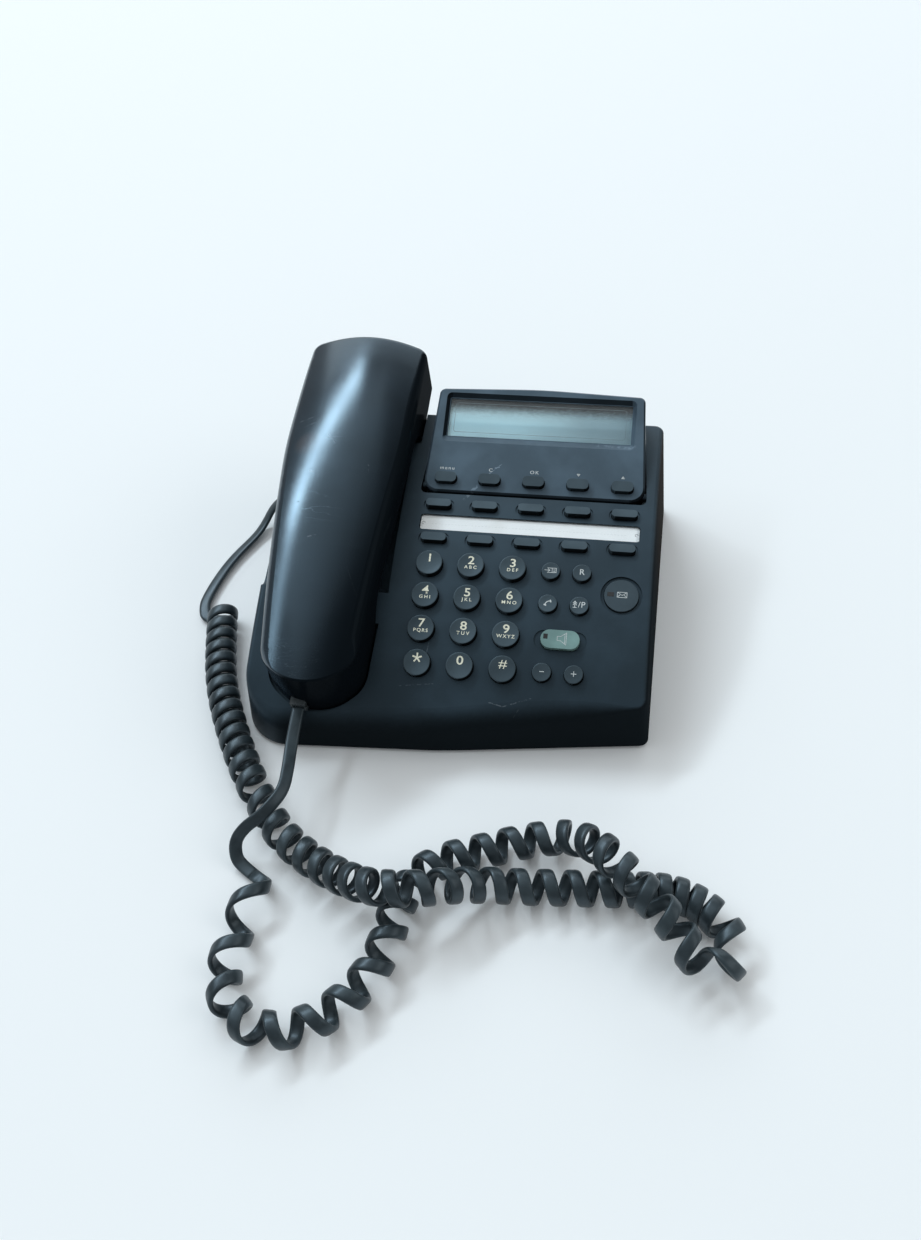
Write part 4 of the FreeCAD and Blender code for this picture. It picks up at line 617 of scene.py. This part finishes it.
# %% Curls, with a straight end at each side
first_way = coil_points[0] - coil_points[1]
last_way = coil_points[-1] - coil_points[-2]
first_way.z = last_way.z = 0.0
lead = 3.4 * MM
coil_start = coil_points[0] + first_way.normalized() * lead
coil_end = coil_points[-1] + last_way.normalized() * lead
curls = sweep("curly_cord", [coil_start, *coil_points, coil_end],
              [coil_sides[0], *coil_sides, coil_sides[-1]])
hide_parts("cord_coil")
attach(curls, "base")
finish_cord(curls, [coil_start, *coil_points, coil_end])


# %% [markdown]
# A leader is the straight piece of cord at each end. It lies flat where it rests and turns a
# little where it climbs. Carrying one direction along the line without twisting it, and then
# spreading the twist that is left over the whole length, gives that turn.

# %% Leaders
LEADER_STEP = 1.0 * MM


def carried_sides(points, first_side, last_side):
    """Sides of a flat cord that twist evenly from the first to the last."""
    sides, side = [], first_side
    ways = headings(points)
    for way in ways:
        side = (side - way * side.dot(way)).normalized()
        sides.append(side.copy())
    last_side = (last_side - ways[-1] * last_side.dot(ways[-1])).normalized()
    left = math.atan2(ways[-1].dot(side.cross(last_side)), side.dot(last_side))
    if abs(left) > math.pi / 2:
        left -= math.copysign(math.pi, left)
    count = len(points) - 1
    return [Matrix.Rotation(left * index / count, 3, way) @ side
            for index, (side, way) in enumerate(zip(sides, ways))]


def leader(name, node, route, first_side, last_side):
    """A flat cord along a route in millimetres, which stands for a CAD leader."""
    points, _ = even_steps(smooth_line(name + "_line", route), LEADER_STEP)
    piece = sweep(name, points, carried_sides(points, first_side, last_side))
    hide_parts(node)
    return piece, points


BASE_LEADER = (
    (-98.2, 52.0, 15.0), (-106.5, 52.0, 15.0), (-113.0, 49.5, 9.5), (-116.5, 43.0, 4.2),
    (-119.5, 35.0, 2.4), (-127.7, 18.5, 2.3), (-132.0, 3.8, 2.3), (-134.5, -10.3, 2.3),
    (-134.5, -17.1, 2.3),
)
back_way = (coil_start - coil_points[0]).normalized() * (2 * lead)
base_route = [*BASE_LEADER, (coil_start + back_way) / MM, coil_start / MM]
base_leader, base_points = leader("base_leader", "cord_base_leader", base_route,
                                  Vector((0, 1, 0)), coil_sides[0])
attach(base_leader, "base")
finish_cord(base_leader, base_points)

# %% The handset's leader, from the curls to the handset's plug
HANDSET_LEADER = (
    (-80.3, -156.0, 4.5), (-80.5, -151.5, 10.5), (-76.0, -148.0, 16.5), (-70.0, -145.0, 20.5),
    (-65.0, -139.0, 22.4), (-61.8, -131.0, 22.4), (-62.4, -120.7, 22.0), (-63.9, -108.1, 21.6),
)
lift = next(joint for joint in frame["joints"] if joint["name"] == "handset_lift")
lift_way = Vector(lift["axis"])
handset_way = Vector((0.0, lift_way.z, -lift_way.y))
plug_points = [vertex.co for vertex in nodes["handset_plug"].data.vertices]
plug_end = min(point.dot(handset_way) for point in plug_points)
plug_middle = sum(plug_points, Vector()) / len(plug_points)
plug_face = plug_middle + handset_way * (plug_end - plug_middle.dot(handset_way))
onward = (coil_end - coil_points[-1]).normalized() * (2 * lead)
handset_route = [coil_end / MM, (coil_end + onward) / MM, *HANDSET_LEADER,
                 (plug_face - handset_way * 2 * lead) / MM, plug_face / MM]
handset_leader, handset_points = leader("handset_leader", "cord_handset_leader", handset_route,
                                        coil_sides[-1], Vector((1, 0, 0)))
finish_cord(handset_leader, handset_points)
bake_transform(handset_leader)


# %% [markdown]
# The round keys are turned pieces with a shallow dish in the top and a small rounding at the
# rim, which is the bright thin line that each key shows. The CAD keys are plain cylinders with
# a flange. A bevel modifier would round them, but their sides would stay as faceted as the CAD
# model's, so each one is turned again from a profile. The radii and levels of that profile are
# read from the CAD key. The dish and the rim are new, and the hidden flange is kept narrow, so
# that it stays clear of the next key's.


# %% Where the top of a key lies
FACE_DEPTH = 0.02 * MM


class Top:
    """The outermost face of a piece: its frame, with X to the right, its body and its dish."""

    def __init__(self, points, outward, body):
        reach = max(point.dot(outward) for point in points)
        face = [point for point in points if point.dot(outward) > reach - FACE_DEPTH]
        low = Vector((min(point[i] for point in face) for i in range(3)))
        high = Vector((max(point[i] for point in face) for i in range(3)))
        right_way = Vector((1, 0, 0))
        up_way = outward.cross(right_way)
        turn = Matrix((right_way, up_way, outward)).transposed().to_4x4()
        self.place = Matrix.Translation((low + high) / 2) @ turn
        self.body = body
        self.half_width = (high.x - low.x) / 2
        self.dish = 0.0

    def sunk(self, x, y):
        """How far the dish lies under the rim at a place across the top."""
        return self.dish * max(0.0, 1.0 - (x * x + y * y) / self.half_width ** 2)


def key_top(name):
    """The top of a key, which lies against the way that the key is pressed."""
    press = next(joint for joint in frame["joints"] if joint["name"] == name + "_press")
    points = [vertex.co for vertex in nodes[name].data.vertices]
    return Top(points, -Vector(press["axis"]), press["child"])


def added(name, mesh):
    """A new object in the scene."""
    piece = bpy.data.objects.new(name, mesh)
    bpy.context.scene.collection.objects.link(piece)
    return piece


# %% Turn the round keys again
SIDES_OF_A_KEY = 56
RIM_ROUNDING = 0.38 * MM
RIM_ANGLES = (22, 45, 68, 90)
BOWL_SHARES = (0.0, 0.2, 0.4, 0.6, 0.8, 0.93, 1.0)
FLANGE_REACH = 0.6 * MM
FLANGE_STEP = 0.1 * MM
DIGIT_DISH = 0.50 * MM
SMALL_DISH = 0.25 * MM
SHARP_ANGLE = math.radians(40)


def key_profile(name, top):
    """Radius and height pairs from the middle of the top, over the rim, down to the flange."""
    levels = {}
    for vertex in nodes[name].data.vertices:
        point = top.place.inverted() @ vertex.co
        level = round(point.z / MM, 2) * MM
        levels[level] = max(levels.get(level, 0.0), math.hypot(point.x, point.y))
    radius = levels.pop(max(levels))
    inner = top.half_width = radius - RIM_ROUNDING
    bowl = [(inner * share, -top.sunk(inner * share, 0.0)) for share in BOWL_SHARES]
    rim = [(inner + RIM_ROUNDING * math.sin(math.radians(angle)),
            RIM_ROUNDING * (math.cos(math.radians(angle)) - 1.0)) for angle in RIM_ANGLES]
    lower = [(min(levels[level], radius + FLANGE_REACH), level)
             for level in sorted(levels, reverse=True)]
    if lower[0][0] > radius + FLANGE_STEP:
        lower.insert(0, (radius, lower[0][1]))
    return bowl + rim + lower


def turned(name, profile, place):
    """A closed solid of revolution from radius and height pairs, on the frame place."""
    corners, faces = [Vector((0.0, 0.0, profile[0][1]))], []
    for radius, height in profile[1:]:
        corners += [Vector((radius * math.cos(math.tau * step / SIDES_OF_A_KEY),
                            radius * math.sin(math.tau * step / SIDES_OF_A_KEY), height))
                    for step in range(SIDES_OF_A_KEY)]
    for step in range(SIDES_OF_A_KEY):
        after = (step + 1) % SIDES_OF_A_KEY
        faces.append((0, 1 + step, 1 + after))
        for ring in range(len(profile) - 2):
            inner, outer = 1 + ring * SIDES_OF_A_KEY, 1 + (ring + 1) * SIDES_OF_A_KEY
            faces.append((inner + step, outer + step, outer + after, inner + after))
    last = 1 + (len(profile) - 2) * SIDES_OF_A_KEY
    faces.append(tuple(last + step for step in reversed(range(SIDES_OF_A_KEY))))
    mesh = bpy.data.meshes.new(name)
    mesh.from_pydata(corners, [], faces)
    mesh.transform(place)
    mesh.shade_smooth()
    mesh.set_sharp_from_angle(angle=SHARP_ANGLE)
    return added(name, mesh)


def stand_for(piece, node, body):
    """The piece takes the finish, the slot and the body of a CAD node and stands for it."""
    slot = next(part["material_slot"] for part in frame["record"]["subparts"]
                if part["node"] == node)
    piece.data.materials.clear()
    piece.data.materials.append(finish_of[slot].material)
    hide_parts(node)
    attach(piece, body)


tops = {name: key_top(name) for name in nodes if name.startswith("key_") and name != "keypad_mat"}
for name in ("directory_key", "recall_key", "redial_key", "pause_key", "minus_key", "plus_key"):
    tops[name] = key_top(name)
for name, top in tops.items():
    top.dish = DIGIT_DISH if name.startswith("key_") else SMALL_DISH
    key = turned("turned_" + name, key_profile(name, top), top.place)
    stand_for(key, name, top.body)
print("turned", len(tops), "keys with", len(key.data.polygons), "faces each")

# %% [markdown]
# The long keys and the large round one keep their CAD shape, and only their edges are broken.
# For that the mesh is cleaned first: the CAD model's flat faces come as many triangles, and a
# bevel would run along every one of them. Weighted normals then keep the large faces flat, and
# only the rounding turns the light.


# %% Break the edges of the long keys
LONG_KEY_ROUNDING = 0.22 * MM
FLAT_ANGLE = math.radians(2)
EDGE_ANGLE = math.radians(35)


def softened(name, node, width):
    """A copy of a CAD piece whose sharp edges are rounded by a width in metres."""
    shape = bmesh.new()
    shape.from_mesh(nodes[node].data)
    bmesh.ops.remove_doubles(shape, verts=shape.verts, dist=1e-6)
    bmesh.ops.dissolve_limit(shape, angle_limit=FLAT_ANGLE, verts=shape.verts,
                             edges=shape.edges)
    sharp = [edge for edge in shape.edges if edge.calc_face_angle(0.0) > EDGE_ANGLE]
    bmesh.ops.bevel(shape, geom=sharp, offset=width, segments=3, profile=0.5, affect="EDGES",
                    clamp_overlap=True)
    mesh = bpy.data.meshes.new(name)
    shape.to_mesh(mesh)
    shape.free()
    mesh.shade_smooth()
    mesh.set_sharp_from_angle(angle=SHARP_ANGLE)
    piece = added(name, mesh)
    even = piece.modifiers.new("flat tops", "WEIGHTED_NORMAL")
    even.keep_sharp = True
    return piece


LONG_KEYS = ["soft_key_%d" % number for number in range(1, 6)]
LONG_KEYS += ["function_key_%d" % number for number in range(1, 11)]
LONG_KEYS += ["loudspeaker_key", "message_key"]
for name in LONG_KEYS:
    tops[name] = key_top(name)
    key = softened("softened_" + name, name, LONG_KEY_ROUNDING)
    stand_for(key, name, tops[name].body)
print("broke the edges of", len(LONG_KEYS), "keys, the last with", len(key.data.polygons), "faces")

# %% [markdown]
# Digits, letters and signs are printed on the keys. They could be part of the key's texture,
# but a texture needs an unwrapped picture. Here each legend is a thin flat mesh that lies a
# hair over its key, follows the dish and rides with the key.

# %% Print on a top
PRINT_RISE = 0.03 * MM
CAPITAL_SHARE = 0.7


def printed(name, mesh, top, shift, finish):
    """Lays a flat mesh on a top, moved across it by a shift in millimetres."""
    for vertex in mesh.vertices:
        vertex.co += Vector((shift[0] * MM, shift[1] * MM, PRINT_RISE))
        vertex.co.z -= top.sunk(vertex.co.x, vertex.co.y)
    mesh.transform(top.place)
    mesh.name = name
    piece = added(name, mesh)
    piece.data.materials.append(finish.material)
    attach(piece, top.body)


def lettering(name, words, height, top, shift, finish, bold=0.0, spread=1.0, wide=1.0):
    """Prints letters of a height in millimetres, thicker by bold and wider by wide."""
    font = bpy.data.curves.new(name, "FONT")
    font.body = words
    font.size = height * MM / CAPITAL_SHARE
    font.align_x = "CENTER"
    font.align_y = "CENTER"
    font.offset = bold * MM
    font.space_character = spread
    carrier = added(name, font)
    bpy.context.view_layer.update()
    mesh = bpy.data.meshes.new_from_object(carrier)
    bpy.data.objects.remove(carrier)
    mesh.transform(Matrix.Diagonal((wide, 1.0, 1.0, 1.0)))
    printed(name, mesh, top, shift, finish)


def drawing(name, lines, width, top, shift, finish, size=1.0):
    """Prints strokes through points in millimetres, enlarged by size."""
    corners, faces = [], []
    for line in lines:
        for before, after in zip(line, line[1:]):
            start, end = Vector((*before, 0.0)) * (MM * size), Vector((*after, 0.0)) * (MM * size)
            way = (end - start).normalized() * (width * MM / 2)
            side = Vector((-way.y, way.x, 0.0))
            first = len(corners)
            corners += [start - way - side, end + way - side, end + way + side, start - way + side]
            faces.append((first, first + 1, first + 2, first + 3))
    mesh = bpy.data.meshes.new(name)
    mesh.from_pydata(corners, [], faces)
    printed(name, mesh, top, shift, finish)


# %% Digits and letters
DIGIT_LEGENDS = {
    "key_1": ("1", ""), "key_2": ("2", "ABC"), "key_3": ("3", "DEF"),
    "key_4": ("4", "GHI"), "key_5": ("5", "JKL"), "key_6": ("6", "MNO"),
    "key_7": ("7", "PQRS"), "key_8": ("8", "TUV"), "key_9": ("9", "WXYZ"),
    "key_0": ("0", ""), "key_hash": ("#", ""),
}
DIGIT_HEIGHT, DIGIT_SHIFT = 3.9, (0.1, 2.25)
LETTERS_HEIGHT, LETTERS_SHIFT = 1.6, (0.1, -1.1)
STAR_ARMS, STAR_REACH = 5, 1.9
for key, (digit, letters) in DIGIT_LEGENDS.items():
    bold = 0.0 if digit == "#" else 0.07
    lettering("digit_" + key, digit, DIGIT_HEIGHT, tops[key], DIGIT_SHIFT, cream, bold, wide=1.18)
    if letters:
        spread = 1.5 if len(letters) == 3 else 1.3
        lettering("letters_" + key, letters, LETTERS_HEIGHT, tops[key], LETTERS_SHIFT, cream,
                  0.03, spread, 1.05)
star_arms = []
for arm in range(STAR_ARMS):
    angle = arm * math.tau / STAR_ARMS
    star_arms.append([(0.0, 0.0), (STAR_REACH * math.sin(angle), STAR_REACH * math.cos(angle))])
drawing("digit_key_star", star_arms, 0.75, tops["key_star"], (0.0, 2.2), cream)
print("digits on", len(DIGIT_LEGENDS) + 1, "keys")

# %% Signs on the small keys
BOOK = [[(-1.2, -0.9), (0.5, -0.9), (0.5, 0.9), (-1.2, 0.9)],
        [(0.5, -0.9), (2.0, -0.9), (2.0, 0.9), (0.5, 0.9)],
        [(1.0, -0.4), (1.6, -0.4)], [(1.0, 0.2), (1.6, 0.2)],
        [(-2.2, 0.0), (-0.4, 0.0)], [(-0.9, 0.5), (-0.3, 0.0), (-0.9, -0.5)]]
RECEIVER = [[(-1.2, -1.2), (-1.1, -0.4), (-0.6, 0.3), (0.2, 0.8), (1.2, 0.9)]]
RECEIVER_ENDS = [[(-1.5, -1.0), (-0.9, -1.2)], [(1.1, 1.2), (1.3, 0.6)]]
ARROWS = [[(-2.2, 0.0), (-1.6, 0.7), (-1.0, 0.0)], [(-2.2, 0.7), (-1.6, 1.4), (-1.0, 0.7)],
          [(-1.6, 1.2), (-1.6, -1.0)], [(-2.2, -1.0), (-1.0, -1.0)]]
MINUS = [[(-0.8, 0.0), (0.8, 0.0)]]
PLUS = [*MINUS, [(0.0, -0.8), (0.0, 0.8)]]
drawing("sign_directory", BOOK, 0.26, tops["directory_key"], (0.0, 0.3), pale_print, 1.25)
lettering("sign_recall", "R", 2.8, tops["recall_key"], (0.0, 0.3), pale_print, bold=0.03)
drawing("sign_redial", RECEIVER, 0.42, tops["redial_key"], (0.0, 0.3), pale_print)
drawing("sign_redial_ends", RECEIVER_ENDS, 0.62, tops["redial_key"], (0.0, 0.3), pale_print)
drawing("sign_pause_arrows", ARROWS, 0.32, tops["pause_key"], (0.0, 0.2), pale_print, 1.25)
lettering("sign_pause", "/P", 2.7, tops["pause_key"], (1.1, 0.3), pale_print, bold=0.03,
          spread=1.1)
drawing("sign_minus", MINUS, 0.34, tops["minus_key"], (0.0, 0.3), pale_print, 1.1)
drawing("sign_plus", PLUS, 0.34, tops["plus_key"], (0.0, 0.3), pale_print, 1.3)

# %% Signs on the message key and the loudspeaker key
ENVELOPE = [[(-1.9, -1.1), (1.9, -1.1), (1.9, 1.1), (-1.9, 1.1), (-1.9, -1.1)],
            [(-1.9, 1.1), (0.0, -0.2), (1.9, 1.1)], [(-1.9, -1.1), (-0.6, 0.2)],
            [(1.9, -1.1), (0.6, 0.2)]]
HORN = [[(-1.9, -0.9), (-1.9, 0.9), (-0.5, 0.9), (1.8, 2.6), (1.8, -2.6), (-0.5, -0.9),
         (-1.9, -0.9)],
        [(1.2, 2.1), (1.2, -2.1)]]
drawing("sign_message", ENVELOPE, 0.26, tops["message_key"], (0.3, 0.4), pale_print, 1.15)
drawing("sign_loudspeaker", HORN, 0.22, tops["loudspeaker_key"], (0.8, 0.3), pale_print, 1.1)


# %% Lamps in both keys
LAMP_RISE = 0.12 * MM
LAMP_INSET = 0.15 * MM
LAMP_SUNK = 0.02 * MM


def lamp(name, top, shift, width, height):
    """A small dark window with sloping edges, for the lamp under a key."""
    half_width, half_height = width * MM / 2, height * MM / 2
    corners = []
    for level, inset in ((0.0, 0.0), (LAMP_RISE, LAMP_INSET)):
        x, y = half_width - inset, half_height - inset
        corners += [(-x, -y, level), (x, -y, level), (x, y, level), (-x, y, level)]
    faces = [(3, 2, 1, 0), (4, 5, 6, 7)]
    faces += [(index, (index + 1) % 4, (index + 1) % 4 + 4, index + 4) for index in range(4)]
    mesh = bpy.data.meshes.new(name)
    mesh.from_pydata(corners, [], faces)
    mesh.transform(top.place @ Matrix.Translation((shift[0] * MM, shift[1] * MM, -LAMP_SUNK)))
    piece = added(name, mesh)
    piece.data.materials.append(lamp_dark.material)
    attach(piece, top.body)


lamp("message_lamp", tops["message_key"], (-4.9, 0.4), 3.0, 2.2)
lamp("loudspeaker_lamp", tops["loudspeaker_key"], (-6.6, 1.0), 2.0, 2.4)

# %% [markdown]
# The legends of the display's own keys are printed on the display's face, over the keys. The
# face is found in the same way as a key's top, from the display housing. A thin pale line round
# the glass is a painted highlight, where the cut edge of the real sheet would catch the light.

# %% Legends on the display
soft_press = next(joint for joint in frame["joints"] if joint["name"] == "soft_key_1_press")
housing_points = [vertex.co for vertex in nodes["display_housing"].data.vertices]
face = Top(housing_points, -Vector(soft_press["axis"]), "display")
OVER_KEYS = 5.6
DOWN = [[(-0.5, 0.4), (0.5, 0.4), (0.0, -0.4), (-0.5, 0.4)], [(0.0, 0.3), (0.0, -0.2)]]
UP = [[(x, -y) for x, y in line] for line in DOWN]
for number, sign in enumerate(("menu", "C", "OK", DOWN, UP), 1):
    middle = face.place.inverted() @ tops["soft_key_%d" % number].place.translation / MM
    shift = (middle.x, middle.y + OVER_KEYS)
    if isinstance(sign, str):
        lettering("sign_soft_key_%d" % number, sign, 1.7, face, shift, pale_print, 0.02, 1.3, 1.1)
    else:
        drawing("sign_soft_key_%d" % number, sign, 0.38, face, shift, pale_print, 1.25)

# %% A painted highlight at the edge of the glass
INSET_X, INSET_Y, CORNER = 2.6, 2.2, 1.2
glass_points = [vertex.co for vertex in nodes["display_window"].data.vertices]
glass = Top(glass_points, -Vector(soft_press["axis"]), "display")
local = [glass.place.inverted() @ point / MM for point in glass_points]
half_x = max(point.x for point in local) - INSET_X
half_y = max(point.y for point in local) - INSET_Y
outline = []
for corner in range(4):
    across, up = ((1, 1), (-1, 1), (-1, -1), (1, -1))[corner]
    for step in range(4):
        angle = math.pi / 2 * (corner + step / 3)
        outline.append((across * (half_x - CORNER) + CORNER * math.cos(angle),
                        up * (half_y - CORNER) + CORNER * math.sin(angle)))
drawing("painted_glass_highlight_line", [[*outline, outline[0]]], 0.16, glass, (0.0, 0.0), painted_glass_highlight)
print("glass line", 2 * half_x, "by", 2 * half_y, "mm")

# %% Marks on the card: a dotted rule and a notch at each end
DOT_PITCH, DOT_LENGTH = 1.6, 0.7
NOTCH_RADIUS, NOTCH_INSET = 0.7, 1.3
card_shape = nodes["label_card"].data
card_points = [vertex.co for vertex in card_shape.vertices]
card_normal = max((side.normal for side in card_shape.polygons), key=lambda way: way.z)
card_top = Top(card_points, card_normal, "base")
half = card_top.half_width / MM
reach = int(half / DOT_PITCH) - 3
dots = [[(x * DOT_PITCH, -0.3), (x * DOT_PITCH + DOT_LENGTH, -0.3)] for x in range(-reach, reach)]
drawing("card_rule", dots, 0.1, card_top, (0.0, 0.0), pale_print)
ring = [(NOTCH_RADIUS * math.cos(step * math.pi / 6), NOTCH_RADIUS * math.sin(step * math.pi / 6))
        for step in range(10)]
for side in (-1, 1):
    drawing("card_notch_%d" % (side + 1), [ring], 0.16, card_top,
            (side * (half - NOTCH_INSET), 0.0), lamp_dark)

# %% [markdown]
# The telephone stands on a plain pale table. The long highlight on the handset runs along a
# band of directions 47 degrees above the table, from behind round to the left. It is taken to
# be a row of windows, and two long lamps stand for it. The soft shadow in front comes from a wide
# pale wall behind, lower than the windows. All of them are far away, so that one side of the table
# gets no more light than the other. The floor is a large sheet that keeps the shadows, and shows
# pale to the camera and in reflections.

# %% Floor
FLOOR_GLOW = 0.04
FLOOR_REACH = 12.0
floor_finish = Finish("floor_sheet", (0.85, 0.87, 0.88), 0.7, Specular_IOR_Level=0.1)
seen = [floor_finish.node("ShaderNodeLightPath", output=name) for name in (
    "Is Camera Ray", "Is Glossy Ray", "Is Transmission Ray")]
seen_at_all = (seen[0] + seen[1] + seen[2]).between(0.0, 1.0)
floor_finish.feed("Emission Color", floor_finish.tint(
    seen_at_all, (0.0, 0.0, 0.0), (0.95, 0.985, 1.0)))
floor_finish.feed("Emission Strength", FLOOR_GLOW)
floor_mesh = bpy.data.meshes.new("floor_sheet")
floor_mesh.from_pydata([(x * FLOOR_REACH, y * FLOOR_REACH, 0)
                        for x, y in ((-1, -1), (1, -1), (1, 1), (-1, 1))], [], [(0, 1, 2, 3)])
floor_mesh.materials.append(floor_finish.material)
floor = bpy.data.objects.new("floor_sheet", floor_mesh)
bpy.context.scene.collection.objects.link(floor)


# %% Lamps and world
def far_lamp(name, turn, rise, distance, width, height, energy, colour):
    """A wide lamp that shines at the telephone from a direction: turn from the back to the left
    and rise, in degrees."""
    turn, rise = math.radians(turn), math.radians(rise)
    place = distance * Vector((-math.sin(turn) * math.cos(rise),
                               math.cos(turn) * math.cos(rise), math.sin(rise)))
    data = bpy.data.lights.new(name, "AREA")
    data.energy, data.color = energy, colour
    data.shape, data.size, data.size_y = "RECTANGLE", width, height
    item = bpy.data.objects.new(name, data)
    bpy.context.scene.collection.objects.link(item)
    item.location = place
    item.rotation_euler = (-place).to_track_quat("-Z", "Y").to_euler()


far_lamp("corner_window", 42, 47, 9.0, 6.0, 1.0, 375.0, (0.80, 0.92, 1.0))
far_lamp("left_window", 84, 47, 9.0, 5.6, 0.8, 100.0, (0.80, 0.92, 1.0))
far_lamp("back_wall", 4, 25, 8.0, 9.0, 3.6, 150.0, (0.90, 0.97, 1.0))
far_lamp("right_wall", -84, 38, 8.0, 6.0, 4.0, 90.0, (1.0, 0.98, 0.95))
far_lamp("ceiling", 36, 74, 5.0, 5.4, 3.8, 38.0, (0.92, 0.97, 1.0))
world = bpy.data.worlds.new("world")
world.use_nodes = True
background = world.node_tree.nodes["Background"]
background.inputs["Color"].default_value = (0.94, 0.98, 1.0, 1.0)
background.inputs["Strength"].default_value = 0.38
bpy.context.scene.world = world
bpy.context.scene.view_settings.view_transform = "Standard"
